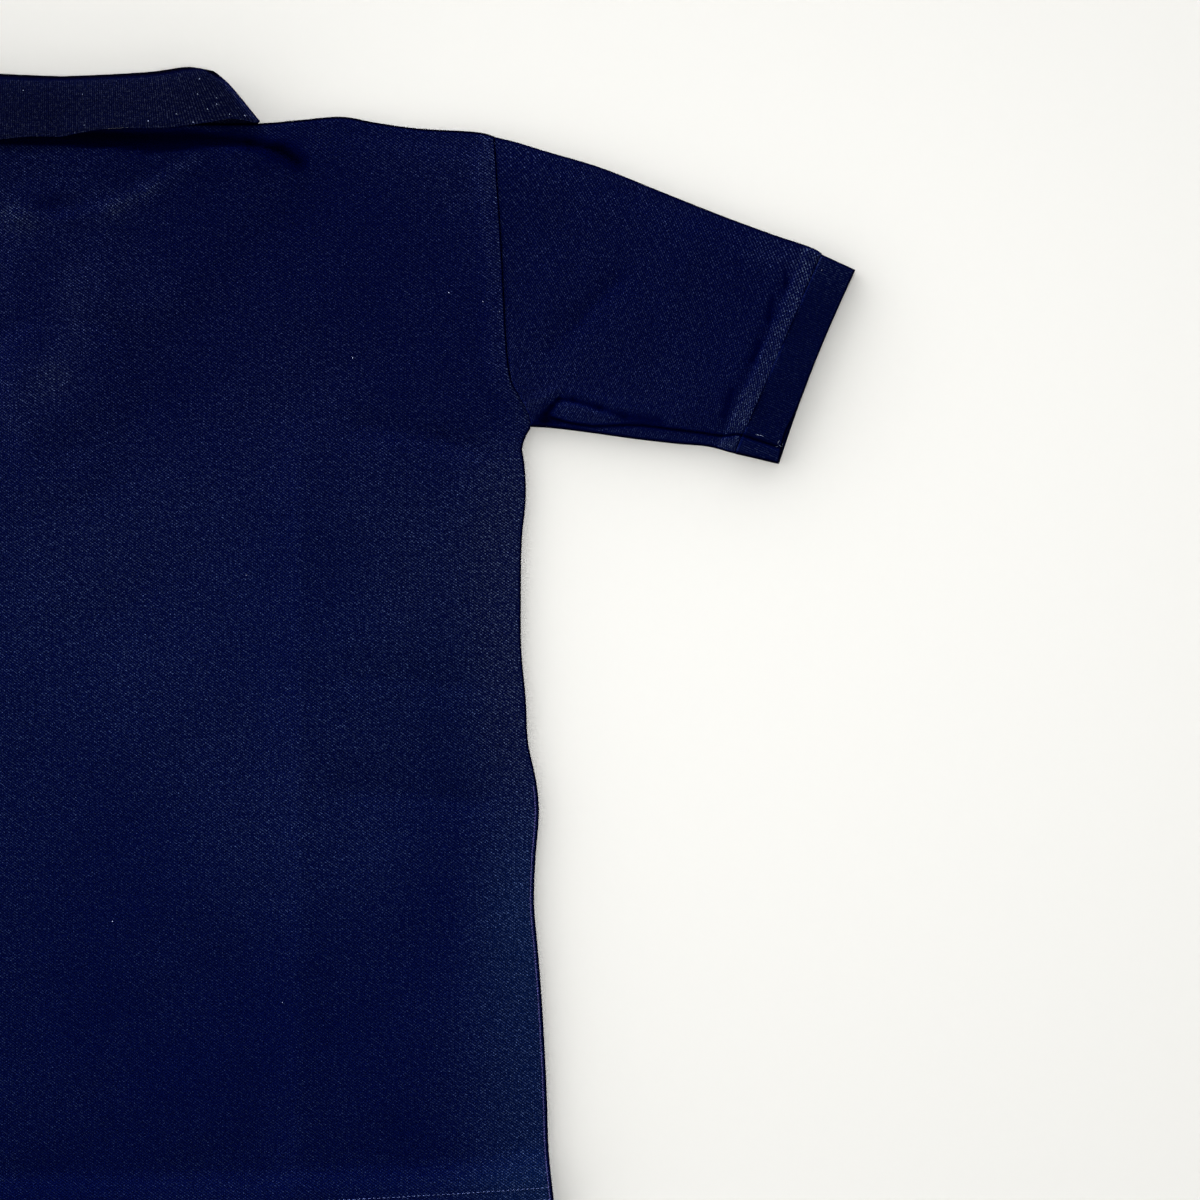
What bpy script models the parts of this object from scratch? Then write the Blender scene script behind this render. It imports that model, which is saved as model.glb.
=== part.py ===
"""A navy pique polo shirt that lies flat on its front, with its back up.

+X is the wearer's right sleeve, +Y runs from the hem to the collar, and +Z is up from the
surface that the shirt lies on. Sizes are in millimetres, and heights along the body are
measured from the line through the high shoulder points, with the hem below zero.
Each cloth piece is a grid laid on the middle of its wall, and Solidify gives it thickness.
"""

import math

import bmesh
import bpy
import numpy as np

MM = 0.001

# Cloth
CLOTH = 1.0  # pique wall
RIB = 1.3  # flat-knit rib of the collar and cuffs
STRIP = 1.1  # placket strips
SEAM = 0.3  # gap between pieces that are sewn together
LAYER = CLOTH + SEAM  # front to back, wall middle to wall middle, where they touch
TURN = 1.5  # the same, between a panel and its turned-up hem
AIR = 1.5  # extra lift of the back over the front, away from seams
ROLL_SIDE = 42.0  # width over which the back rolls down to the side seam
ROLL_SHOULDER = 22.0  # the same at the shoulder

# Body
NECK_HALF = 79.0
SHOULDER_END = -9.5  # height of the shoulder point at the armhole
NECK_DROP_BACK = 5.3
NECK_DROP_FRONT = 68.0
NECK_CORNER = -1.5
ARMPIT = -190.6
HEM_SIDE = -684.0
HEM_SAG = 12.0  # the hem's middle hangs lower than its sides
HEM_DEPTH = 20.0
FOLD_REACH = 0.8  # how far the hem's fold bulges, as a share of TURN
HEM_BEND_TO = -549.0  # above this the sections run straight across
TOP_BEND_FROM = -150.6  # above this they bend to the neck and shoulders
COLLAR_TOP = 33.75

SIDE_ROWS = (  # height, half width: a row for each section, from the hem to the shoulder
    (-664.0, 306.4),
    (-642.0, 304.2),
    (-610.0, 303.2),
    (-580.0, 301.8),
    (-549.0, 300.0),
    (-520.0, 297.8),
    (-490.0, 295.2),
    (-462.0, 295.9),
    (-430.0, 298.2),
    (-411.0, 296.3),
    (-388.0, 291.4),
    (-361.0, 290.0),
    (-330.0, 287.2),
    (-296.0, 286.9),
    (-261.0, 287.5),
    (-234.0, 290.0),
    (-211.0, 288.8),
    (-205.0, 287.6),
    (-197.0, 289.6),
    (ARMPIT, 293.1),
    (-180.0, 290.6),
    (-170.6, 285.9),
    (-163.7, 281.9),
    (-150.6, 279.3),
    (-124.0, 277.2),
    (-99.0, 276.0),
    (-75.6, 274.8),
    (-55.0, 273.5),
    (-36.0, 272.3),
    (-20.0, 271.4),
    (SHOULDER_END, 270.6),
)
HEM_HALF = 308.5

SHOULDER = (  # across, height of the shoulder edge
    (NECK_HALF, NECK_CORNER),
    (127.0, -1.2),
    (149.0, 0.8),
    (175.0, 3.0),
    (195.0, -0.5),
    (222.0, -4.3),
    (262.0, -7.0),
    (270.6, SHOULDER_END),
)

PLACKET_HALF = 16.5
PLACKET_END = -205.0
CENTRE_COLUMNS = (0.0, PLACKET_HALF, 38.0, 57.0, 70.0, 77.0, NECK_HALF, 105.0, 127.0, 149.0)
MIDDLE_SHARES = (0.33, 0.7)
EDGE_COLUMNS = (42.0, 16.0, 0.0)  # in from the panel's edge

# What lies under a panel: a line, the flat top's reach, the slope's reach, the height
BUTTON_HEIGHTS = {"button_top": -88.0, "button_low": -157.0}
BUTTON_LIFT = 2.4
LEAF_LIFT = RIB + SEAM
FRONT_PADS = (
    (97.0, -5.0, 45.0, -72.0, 38.0, 30.0, LEAF_LIFT),
    (-97.0, -5.0, -45.0, -72.0, 38.0, 30.0, LEAF_LIFT),
    (0.0, -88.0, 0.0, -88.0, 14.0, 30.0, BUTTON_LIFT),
    (0.0, -157.0, 0.0, -157.0, 14.0, 30.0, BUTTON_LIFT),
)
BACK_PADS = (  # height of the back's wall middle over the same kind of line
    (-52.0, -24.0, 52.0, -24.0, 32.0, 30.0, 5.0),
    (0.0, -68.0, 0.0, -96.0, 24.0, 36.0, 5.9),
    (0.0, -152.0, 0.0, -164.0, 20.0, 40.0, 5.9),
    (0.0, -60.0, 0.0, -205.0, 20.0, 28.0, 4.2),
)
BACK_FOLDS = (  # a line, how far it rises, its reach
    (149.0, -204.0, 149.0, -664.0, 0.9, 16.0),  # packing crease
    (-149.0, -230.0, -149.0, -650.0, 0.8, 18.0),
    (-60.0, -20.0, 108.0, -19.0, 1.3, 9.0),  # ridge below the collar
    (108.0, -19.0, 146.0, -30.0, 1.0, 10.0),
    (190.0, -189.0, 284.0, -209.0, -0.9, 12.0),  # armpit
    (-175.0, -196.0, -284.0, -212.0, -0.8, 14.0),
    (186.0, -344.0, 286.0, -351.0, -0.8, 14.0),  # waist
    (-170.0, -366.0, -280.0, -352.0, -0.7, 16.0),
    (176.0, -414.0, 262.0, -424.0, -0.7, 14.0),
    (11.0, -316.0, 36.0, -311.0, -0.6, 18.0),
    (-90.0, -470.0, -30.0, -500.0, -0.6, 20.0),
)
HEM_SLOPE = 30.0  # over which the back comes down from its turned-up hem
ALLOWANCE_RISE = 0.5  # the body stands over the sleeve at the armhole
ALLOWANCE = 11.0
ALLOWANCE_SLOPE = 8.0
ALLOWANCE_ENDS = 30.0  # the rise fades out over this at the armpit and the shoulder

# Sleeve: share of its length, then the top and bottom edges of the flattened tube
SLEEVE_ROWS = (
    (0.00, 271.0, -9.6, 293.4, -190.6),
    (0.06, 283.5, -12.6, 297.0, -190.8),
    (0.16, 303.0, -18.6, 306.5, -191.4),
    (0.32, 336.0, -28.4, 329.5, -194.2),
    (0.50, 373.8, -43.4, 356.5, -198.0),
    (0.70, 411.0, -58.2, 384.0, -201.6),
    (0.86, 444.0, -70.4, 404.0, -204.4),
    (0.97, 470.4, -79.5, 417.2, -206.6),
    (1.00, 474.6, -82.2, 420.0, -207.2),
)
SLEEVE_GAP = 2.0  # wall middles apart at the tube's two folds
SLEEVE_AIR = 0.9
SLEEVE_ROLL = 24.0
SLEEVE_FOLDS = (
    (322.0, -178.0, 380.0, -192.0, 1.0, 8.0),  # bulge over the underarm seam
    (346.0, -99.0, 306.0, -141.0, -0.7, 11.0),
    (463.0, -92.0, 416.0, -196.0, -0.6, 7.0),  # crease beside the cuff's seam band
)

# Cuff: the same, from its seam to its opening
CUFF_ROWS = (
    (0.0, 474.6, -82.9, 420.3, -207.4),
    (0.5, 485.2, -87.8, 434.1, -210.6),
    (1.0, 495.6, -92.6, 447.9, -213.9),
)
CUFF_GAP = 2.5
CUFF_AIR = 0.3
CUFF_SLIP = 2.5  # the cuff's lower layer sticks out past the upper one
CUFF_SHARES = (0.0, 0.14, 0.32, 0.5, 0.68, 0.86, 1.0)

# Collar, a row for each section from the centre back round the side to the centre front:
# seam, top of the stand, fold, top of the fall and edge
COLLAR_ROWS = (
    ((0.0, -5.0, 5.0), (0.0, 25.4, 1.8), (0.0, 27.4, 3.6), (0.0, 25.4, 5.6), (0.0, -9.3, 7.4)),
    ((30.0, -4.4, 5.0), (30.2, 26.4, 2.1), (30.0, 28.6, 3.9), (30.2, 26.4, 5.9), (31.0, -4.8, 8.4)),
    ((57.0, -2.9, 5.2), (59.9, 28.2, 3.4), (59.0, 30.4, 4.9), (60.0, 28.2, 6.8), (64.0, -4.3, 8.8)),
    ((70.0, -1.8, 5.4), (79.3, 31.2, 5.2), (79.0, 32.9, 6.6), (80.3, 31.2, 8.0), (93.0, -1.0, 8.4)),
    ((74.8, -1.1, 5.45), (84.9, 30.6, 5.33), (86.6, 31.9, 6.63), (89.1, 30.9, 8.18), (107.0, 1.2, 8.0)),
    ((77.1, 1.4, 5.79), (85.8, 27.2, 5.46), (91.7, 31.2, 6.04), (99.7, 25.1, 7.15), (118.7, 0.9, 7.1)),
    ((79.2, 1.0, 4.31), (87.6, 25.2, 4.34), (92.8, 30.9, 3.9), (102.0, 25.0, 3.93), (121.2, 1.6, 3.95)),
    ((78.5, -0.9, 2.6), (85.1, 21.7, 3.01), (91.3, 28.5, 1.44), (99.9, 23.1, 0.65), (118.9, -0.4, 0.75)),
    ((77.0, -4.8, 2.67), (79.0, 17.4, 3.12), (84.4, 21.0, 1.71), (89.8, 21.5, 0.65), (117.5, -3.5, 0.65)),
    ((76.6, -9.5, 2.7), (74.9, 14.2, 3.0), (75.2, 16.3, 1.85), (77.1, 16.3, 0.65), (116.5, -9.5, 0.65)),
    ((75.3, -16.5, 2.7), (66.6, 5.2, 3.05), (66.3, 6.5, 1.85), (67.6, 6.3, 0.65), (112.0, -21.5, 0.65)),
    ((71.4, -26.5, 2.7), (57.5, -8.3, 3.05), (56.5, -7.5, 1.85), (57.5, -8.3, 0.65), (106.0, -37.0, 0.65)),
    ((61.2, -41.0, 2.7), (45.9, -23.4, 3.05), (45.0, -22.5, 1.85), (45.9, -23.4, 0.65), (97.0, -54.0, 0.65)),
    ((44.0, -54.8, 2.7), (31.7, -36.0, 3.05), (31.0, -35.0, 1.85), (31.7, -36.0, 0.65), (82.0, -72.0, 0.65)),
    ((23.5, -63.6, 2.7), (15.5, -44.8, 3.05), (15.0, -43.6, 1.85), (15.5, -44.8, 0.65), (68.0, -85.0, 0.65)),
    ((3.0, -66.6, 2.7), (2.3, -47.8, 3.05), (2.0, -46.6, 1.85), (2.3, -47.8, 0.65), (58.0, -91.0, 0.65)),
)
COLLAR_STEPS = 2  # sections to a row of the table
COLLAR_SPANS = (3, 2, 2, 5)  # cells across the stand, the fold's two halves and the fall
LEFT_SAG = (-44.0, 30.0, 7.4)  # the fall's edge droops here: across, reach, drop

# Placket
STRIP_INSET = 0.3
STRIP_TOP = -67.0
STRIP_STEP = 7.0
STRIP_COLUMNS = 5

# Buttons
BUTTON_RADIUS = 5.6
BUTTON_THICK = 2.1
BUTTON_RIM = 1.2
BUTTON_DISH = 0.5
BUTTON_HOLES = 4
HOLE_RADIUS = 0.85
HOLE_RING = 1.7

NAVY = (0.0030, 0.0048, 0.034, 1.0)
NAVY_RIB = (0.0025, 0.0042, 0.028, 1.0)
BUTTON_NAVY = (0.0040, 0.0060, 0.030, 1.0)

# The shirt's own height zero is the shoulder line; the part's origin is under its middle.
MIDDLE = (COLLAR_TOP + HEM_SIDE - HEM_SAG) / 2


def ease(distance, reach):
    """0 at a distance of nothing, 1 from reach on, and smooth between."""
    t = np.clip(distance / reach, 0.0, 1.0)
    return t * t * (3 - 2 * t)


def higher(a, b, soft=0.6):
    """The larger of two heights, with the kink between them rounded."""
    return 0.5 * (a + b + math.hypot(a - b, soft)) - 0.25 * soft


def line_distance(x, y, x0, y0, x1, y1):
    dx, dy = x1 - x0, y1 - y0
    along = dx * dx + dy * dy
    t = 0.0 if along == 0 else min(1.0, max(0.0, ((x - x0) * dx + (y - y0) * dy) / along))
    return math.hypot(x - x0 - t * dx, y - y0 - t * dy)


def folds(x, y, table):
    return sum(
        rise * math.exp(-((line_distance(x, y, *line) / reach) ** 2))
        for *line, rise, reach in table
    )


def half_width(y):
    heights, halves = zip((HEM_SIDE, HEM_HALF), *SIDE_ROWS)
    return float(np.interp(y, heights, halves))


def shoulder_edge(x):
    across, heights = zip(*SHOULDER)
    return float(np.interp(abs(x), across, heights))


def back_top(x):
    """Upper edge of the back: a shallow neck curve, then the shoulder."""
    if abs(x) >= NECK_HALF:
        return shoulder_edge(x)
    share = 1 - (x / NECK_HALF) ** 2
    return NECK_CORNER - (NECK_DROP_BACK + NECK_CORNER) * share


def front_top(x):
    """Upper edge of the front: a deep quarter-round neck each side, then the shoulder."""
    if abs(x) >= NECK_HALF:
        return shoulder_edge(x)
    share = math.sqrt(1 - (x / NECK_HALF) ** 2)
    return NECK_CORNER - (NECK_DROP_FRONT + NECK_CORNER) * share


def front_middle(x, y):
    """Height of the front's wall middle: on the surface, or over what lies under it."""
    lift = 0.0
    for *line, flat, slope, rise in FRONT_PADS:
        pad = rise * (1 - ease(line_distance(x, y, *line) - flat, slope))
        lift = max(lift, pad)
    return CLOTH / 2 + lift


def hem_height(x):
    return HEM_SIDE - HEM_SAG * (1 - (x / HEM_HALF) ** 2)


def back_middle(x, y):
    """Height of the back's wall middle: over the front, with air, bumps and folds."""
    half = half_width(y)
    to_side = math.hypot(max(half - abs(x), 0.0), max(y - ARMPIT, 0.0))
    to_shoulder = math.hypot(
        max(shoulder_edge(x) - y, 0.0), max(NECK_HALF - abs(x), 0.0)
    )
    loose = ease(to_side, ROLL_SIDE) * ease(to_shoulder, ROLL_SHOULDER)
    touching = front_middle(x, y) + LAYER
    height = touching + loose * AIR
    for *line, flat, slope, level in BACK_PADS:
        share = 1 - ease(line_distance(x, y, *line) - flat, slope)
        height = higher(height, touching + (level - touching) * share)
    at_hem = 1 - ease(y - hem_height(x) - HEM_DEPTH - CLOTH, HEM_SLOPE)
    height = higher(height, touching + 2 * TURN * at_hem, 0.2)
    if y > ARMPIT:
        seam_side = 1 - ease(half - abs(x) - ALLOWANCE, ALLOWANCE_SLOPE)
        ends = ease(to_side, ALLOWANCE_ENDS) * ease(-y, ALLOWANCE_ENDS)
        height += ALLOWANCE_RISE * seam_side * ends
    return float(height + loose * folds(x, y, BACK_FOLDS))


def grid_object(name, rows, wall, material, rest, closed=False, keep=None, even=True):
    """A cloth wall through rows of points that share their count, in millimetres."""
    count = len(rows[0])
    bm = bmesh.new()
    bmesh.ops.create_grid(bm, x_segments=count - 1, y_segments=len(rows) - 1, size=1.0)
    bm.verts.ensure_lookup_table()
    for index, vertex in enumerate(bm.verts):
        x, y, z = rows[index // count][index % count]
        vertex.co = (x * MM, y * MM, z * MM)
    if keep:
        dropped = [f for f in bm.faces if not keep(f.calc_center_median() / MM)]
        bmesh.ops.delete(bm, geom=dropped, context="FACES")
    if closed:
        bmesh.ops.remove_doubles(bm, verts=bm.verts, dist=1e-7)
    bmesh.ops.recalc_face_normals(bm, faces=bm.faces)
    obj = new_object(name, bm, material, rest)
    thick = obj.modifiers.new("wall", "SOLIDIFY")
    thick.thickness = wall * MM
    thick.offset = 0.0
    thick.use_even_offset = even
    return obj


def new_object(name, bm, material, rest):
    mesh = bpy.data.meshes.new(name)
    bm.to_mesh(mesh)
    bm.free()
    mesh.shade_smooth()
    obj = bpy.data.objects.new(name, mesh)
    bpy.context.scene.collection.objects.link(obj)
    obj.parent = rest
    obj.data.materials.append(material)
    return obj


def curve(points, spans):
    """Points of a smooth curve through the given ones, with so many steps to each span."""
    p = [np.array(q, float) for q in points]
    p = [2 * p[0] - p[1], *p, 2 * p[-1] - p[-2]]
    knots = [0.0]
    for a, b in zip(p, p[1:]):
        knots.append(knots[-1] + math.sqrt(np.linalg.norm(b - a)))
    found = [p[1]]
    for i, steps in enumerate(spans):
        t0, t1, t2, t3 = knots[i : i + 4]
        q0, q1, q2, q3 = p[i : i + 4]
        for step in range(1, steps + 1):
            t = t1 + (t2 - t1) * step / steps
            a1 = (q0 * (t1 - t) + q1 * (t - t0)) / (t1 - t0)
            a2 = (q1 * (t2 - t) + q2 * (t - t1)) / (t2 - t1)
            a3 = (q2 * (t3 - t) + q3 * (t - t2)) / (t3 - t2)
            b1 = (a1 * (t2 - t) + a2 * (t - t0)) / (t2 - t0)
            b2 = (a2 * (t3 - t) + a3 * (t - t1)) / (t3 - t1)
            found.append((b1 * (t2 - t) + b2 * (t - t1)) / (t2 - t1))
    return found


def columns(half):
    """Places of the grid's columns across a section, left to right."""
    outer = [half - inset for inset in EDGE_COLUMNS]
    inner = CENTRE_COLUMNS[-1]
    middle = [inner + share * (outer[0] - inner) for share in MIDDLE_SHARES]
    right = [*CENTRE_COLUMNS, *middle, *outer]
    return [-x for x in reversed(right[1:])] + right


def section_height(nominal, x, top):
    """Height at x of the section that meets the side at nominal."""
    bend = np.clip((nominal - TOP_BEND_FROM) / (SHOULDER_END - TOP_BEND_FROM), 0, 1)
    low = np.clip((HEM_BEND_TO - nominal) / (HEM_BEND_TO - HEM_SIDE), 0, 1)
    sag = HEM_SAG * (1 - min(1.0, abs(x) / HEM_HALF) ** 2)
    return float(nominal + (top(x) - SHOULDER_END) * bend - sag * low)


def panel_rows(top, middle, turn):
    """Grid of a body panel, from its turned-up hem's raw edge to the neck and shoulders."""
    rows = []
    bend = FOLD_REACH * abs(turn)
    for inset, level in ((HEM_DEPTH, 1.0), (bend, 1.0), (0.0, 0.5), (bend, 0.0)):
        row = []
        for x in columns(half_width(HEM_SIDE + inset) - SEAM / 2):
            y = section_height(HEM_SIDE, x, top) + inset
            row.append((x, y, middle(x, y) + turn * level))
        rows.append(row)
    for nominal, half in SIDE_ROWS:
        row = []
        for x in columns(half - SEAM / 2):
            y = section_height(nominal, x, top)
            row.append((x, y, middle(x, y)))
        rows.append(row)
    return rows


def body(material, rest):
    rows = panel_rows(back_top, back_middle, -TURN)
    grid_object("back", rows, CLOTH, material, rest)

    def beside_placket(centre):
        return abs(centre.x) > PLACKET_HALF or centre.y < PLACKET_END

    rows = panel_rows(front_top, front_middle, TURN)
    grid_object("front", rows, CLOTH, material, rest, keep=beside_placket)


def half_round(first, last, outward, radius):
    """Points that turn from one layer's edge round to the other's."""
    found = []
    for angle in (45, 90, 135):
        a = math.radians(angle)
        p = first + (last - first) * (1 - math.cos(a)) / 2
        p[:2] += outward * radius * math.sin(a)
        found.append(p)
    return found


def tube_rows(table, shares, wall, gap, lift, slip=0.0, start=None):
    """Rings of a flattened sleeve or cuff: the upper layer from the top edge to the bottom
    one, a half round, the lower layer back again, and a half round."""
    inset = gap / 2 + wall / 2
    rings = []
    for along, x0, y0, x1, y1 in table:
        top, low = np.array((x0, y0)), np.array((x1, y1))
        across = (low - top) / np.linalg.norm(low - top)
        out = np.array((-across[1], across[0]))
        upper, lower = [], []
        for share in shares:
            p = top + across * inset + (low - top - 2 * across * inset) * share
            if start:
                p[0] += start(share) * (1 - along) ** 2
            past = out * slip * along * math.sin(math.pi * share)
            upper.append(np.array((*p, wall / 2 + gap + lift(*p))))
            lower.append(np.array((*(p + past), wall / 2)))
        lower.reverse()
        ring = [*upper, *half_round(upper[-1], lower[0], across, gap / 2)]
        ring += [*lower, *half_round(lower[-1], upper[0], -across, gap / 2)]
        rings.append([*ring, ring[0]])
    return rings


def sleeve_edge(x, side):
    """Height of the sleeve's top edge (side 0) or bottom edge (side 1) at x."""
    return float(
        np.interp(x, [r[1 + 2 * side] for r in SLEEVE_ROWS], [r[2 + 2 * side] for r in SLEEVE_ROWS])
    )


def sleeve_lift(x, y):
    inside = min(sleeve_edge(x, 0) - y, y - sleeve_edge(x, 1))
    return ease(max(inside, 0.0), SLEEVE_ROLL) * (SLEEVE_AIR + folds(x, y, SLEEVE_FOLDS))


def sleeves(material, rest):
    _, x0, y0, x1, y1 = SLEEVE_ROWS[0]
    inset = SLEEVE_GAP / 2 + CLOTH / 2
    first, last = y0 - inset, y1 + inset
    heights = [y for y, _ in reversed(SIDE_ROWS) if last + 4 < y < first - 4]
    shares = [0.0, *((y - first) / (last - first) for y in heights), 1.0]

    def armhole(share):
        y = first + (last - first) * share
        straight = x0 + (x1 - x0) * (y - y0) / (y1 - y0)
        return half_width(y) + SEAM / 2 - straight

    rings = tube_rows(SLEEVE_ROWS, shares, CLOTH, SLEEVE_GAP, sleeve_lift, start=armhole)
    pair("sleeve", rings, CLOTH, material, rest)


def cuffs(material, rest):
    rings = tube_rows(
        CUFF_ROWS, CUFF_SHARES, RIB, CUFF_GAP, lambda x, y: CUFF_AIR, slip=CUFF_SLIP
    )
    pair("cuff", rings, RIB, material, rest)


def pair(name, rings, wall, material, rest):
    """The right piece and its mirror image."""
    left = [[(-p[0], p[1], p[2]) for p in ring] for ring in rings]
    grid_object(f"{name}_right", rings, wall, material, rest, closed=True)
    grid_object(f"{name}_left", left, wall, material, rest, closed=True)


def collar(material, rest):
    flat_rows = [np.ravel(row) for row in COLLAR_ROWS]
    right = curve(flat_rows, [COLLAR_STEPS] * (len(flat_rows) - 1))
    first_of_fall = sum(COLLAR_SPANS[:-1])
    across, reach, drop = LEFT_SAG
    sections = []
    for side, rows in ((-1, reversed(right)), (1, right[1:])):
        for row in rows:
            on_top = row[-1] > LEAF_LIFT + LAYER
            edge_x = side * row[-3]
            sag = drop * math.exp(-(((edge_x - across) / reach) ** 2)) * on_top
            points = []
            for index, p in enumerate(curve(row.reshape(-1, 3), COLLAR_SPANS)):
                down = max(0, index - first_of_fall) / COLLAR_SPANS[-1]
                points.append((side * p[0], p[1] - sag * down, max(p[2], RIB / 2)))
            sections.append(points)
    grid_object("collar", sections, RIB, material, rest, even=False)


def placket(material, rest):
    """Two strips in the front's slit, one behind the other."""
    half = PLACKET_HALF - STRIP_INSET
    low = PLACKET_END + STRIP_INSET
    steps = round((STRIP_TOP - low) / STRIP_STEP)
    first = (STRIP - CLOTH) / 2
    for name, lift in (("placket_outer", first), ("placket_under", first + STRIP + SEAM)):
        rows = []
        for y in np.linspace(low, STRIP_TOP, steps + 1):
            xs = np.linspace(-half, half, STRIP_COLUMNS)
            rows.append([(x, y, front_middle(x, y) + lift) for x in xs])
        grid_object(name, rows, STRIP, material, rest)


def button_profile():
    """Half of a button's section, its dished face down: out from the middle and back."""
    rim = BUTTON_RADIUS - BUTTON_RIM
    return (
        (0.0, BUTTON_DISH),
        (rim - 0.5, BUTTON_DISH),
        (rim, 0.0),
        (BUTTON_RADIUS - 0.3, 0.0),
        (BUTTON_RADIUS, 0.4),
        (BUTTON_RADIUS - 0.2, 1.4),
        (BUTTON_RADIUS - 1.1, BUTTON_THICK),
        (0.0, BUTTON_THICK),
    )


def buttons(material, rest):
    bm = bmesh.new()
    profile = [bm.verts.new((r * MM, 0, z * MM)) for r, z in button_profile()]
    edges = [bm.edges.new(pair_of) for pair_of in zip(profile, profile[1:])]
    bmesh.ops.spin(
        bm, geom=edges, cent=(0, 0, 0), axis=(0, 0, 1), angle=2 * math.pi, steps=24, use_merge=True
    )
    bmesh.ops.remove_doubles(bm, verts=bm.verts, dist=1e-6)
    bmesh.ops.recalc_face_normals(bm, faces=bm.faces)
    blank = bpy.data.meshes.new("button")
    bm.to_mesh(blank)
    bm.free()
    blank.shade_smooth()
    blank.materials.append(material)

    bm = bmesh.new()
    for k in range(BUTTON_HOLES):
        a = 2 * math.pi * (k + 0.5) / BUTTON_HOLES
        made = bmesh.ops.create_cone(
            bm, segments=8, radius1=HOLE_RADIUS * MM, radius2=HOLE_RADIUS * MM,
            depth=3 * BUTTON_THICK * MM, cap_ends=True,
        )
        where = (HOLE_RING * math.cos(a) * MM, HOLE_RING * math.sin(a) * MM, 0)
        bmesh.ops.translate(bm, verts=made["verts"], vec=where)
    punch = bpy.data.meshes.new("thread_holes")
    bm.to_mesh(punch)
    bm.free()

    for name, y in BUTTON_HEIGHTS.items():
        cutter = bpy.data.objects.new(f"{name}_holes", punch)
        button = bpy.data.objects.new(name, blank)
        for obj in (cutter, button):
            bpy.context.scene.collection.objects.link(obj)
            obj.parent = rest
            obj.location = (0, y * MM, 0)
        cutter.hide_render = True
        cutter.display_type = "WIRE"
        cut = button.modifiers.new("thread holes", "BOOLEAN")
        cut.operation = "DIFFERENCE"
        cut.solver = "EXACT"
        cut.object = cutter


def finish(name, colour, roughness):
    material = bpy.data.materials.new(name)
    material.use_nodes = True
    shader = material.node_tree.nodes["Principled BSDF"]
    shader.inputs["Base Color"].default_value = colour
    shader.inputs["Roughness"].default_value = roughness
    shader.inputs["Metallic"].default_value = 0.0
    return material


def build():
    for old in list(bpy.data.objects):
        bpy.data.objects.remove(old)
    rest = bpy.data.objects.new("shirt_rest", None)
    bpy.context.scene.collection.objects.link(rest)
    rest.location = (0, -MIDDLE * MM, 0)
    pique = finish("navy_pique", NAVY, 0.85)
    rib = finish("navy_rib", NAVY_RIB, 0.9)
    body(pique, rest)
    sleeves(pique, rest)
    cuffs(rib, rest)
    collar(rib, rest)
    placket(pique, rest)
    buttons(finish("button_navy", BUTTON_NAVY, 0.35), rest)


build()
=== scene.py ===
"""Looks of a navy pique polo shirt that lies flat on its front, with its back up.

+X is the wearer's right sleeve, +Y runs from the hem to the collar, and +Z is up. Sizes are
in millimetres, and heights along the body start from the line through the high shoulder
points, until a piece is written out in metres around the frame's own origin.
"""

import math

import bmesh
import bpy
import numpy as np
from mathutils import Matrix, Vector
from mathutils.bvhtree import BVHTree


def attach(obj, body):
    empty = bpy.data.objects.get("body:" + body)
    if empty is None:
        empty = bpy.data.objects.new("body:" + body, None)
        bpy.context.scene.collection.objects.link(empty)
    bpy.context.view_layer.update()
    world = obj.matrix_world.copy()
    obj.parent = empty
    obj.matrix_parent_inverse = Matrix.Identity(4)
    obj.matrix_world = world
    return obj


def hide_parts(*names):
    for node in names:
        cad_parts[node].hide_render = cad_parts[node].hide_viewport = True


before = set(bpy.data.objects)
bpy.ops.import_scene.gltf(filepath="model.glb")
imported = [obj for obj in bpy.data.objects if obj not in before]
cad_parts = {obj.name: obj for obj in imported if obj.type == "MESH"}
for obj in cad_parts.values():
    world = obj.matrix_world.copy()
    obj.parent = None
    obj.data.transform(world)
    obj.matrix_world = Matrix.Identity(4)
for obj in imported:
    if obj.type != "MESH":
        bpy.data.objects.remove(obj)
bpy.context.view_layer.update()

MM = 0.001

# Cloth
CLOTH = 1.0
RIB = 1.3
STRIP = 1.1
SEAM = 0.3  # room between two pieces
LAYER = CLOTH + SEAM
TURN = 1.5  # from a hem's fold to its turned-up part
AIR = 1.5  # how far the back stands off the front
ROLL_SIDE = 42  # and how far in it takes to do so
ROLL_SHOULDER = 22

# Body
NECK_HALF = 79
SHOULDER_END = -9.5
NECK_DROP_BACK = 5.3
NECK_DROP_FRONT = 68
NECK_CORNER = -1.5
ARMPIT = -190.6
HEM_SIDE = -684
HEM_SAG = 12
HEM_DEPTH = 20
HEM_BEND_TO = -549
TOP_BEND_FROM = -150.6
COLLAR_TOP = 33.75
MIDDLE = (COLLAR_TOP + HEM_SIDE - HEM_SAG) / 2

HEM_HALF = 308.5
SIDE_ROWS = (  # height, half width
    (HEM_SIDE, HEM_HALF), (-664, 306.4), (-642, 304.2), (-610, 303.2), (-580, 301.8), (-549, 300),
    (-520, 297.8), (-490, 295.2), (-462, 295.9), (-430, 298.2), (-411, 296.3), (-388, 291.4),
    (-361, 290), (-330, 287.2), (-296, 286.9), (-261, 287.5), (-234, 290), (-211, 288.8),
    (-205, 287.6), (-197, 289.6), (ARMPIT, 293.1), (-180, 290.6), (-170.6, 285.9), (-163.7, 281.9),
    (-150.6, 279.3), (-124, 277.2), (-99, 276), (-75.6, 274.8), (-55, 273.5), (-36, 272.3),
    (-20, 271.4), (SHOULDER_END, 270.6),
)
SHOULDER = (  # across, height of the shoulder edge
    (NECK_HALF, NECK_CORNER), (127, -1.2), (149, 0.8), (175, 3), (195, -0.5), (222, -4.3),
    (262, -7), (270.6, SHOULDER_END),
)
PLACKET_HALF = 16.5
PLACKET_END = -205

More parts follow.
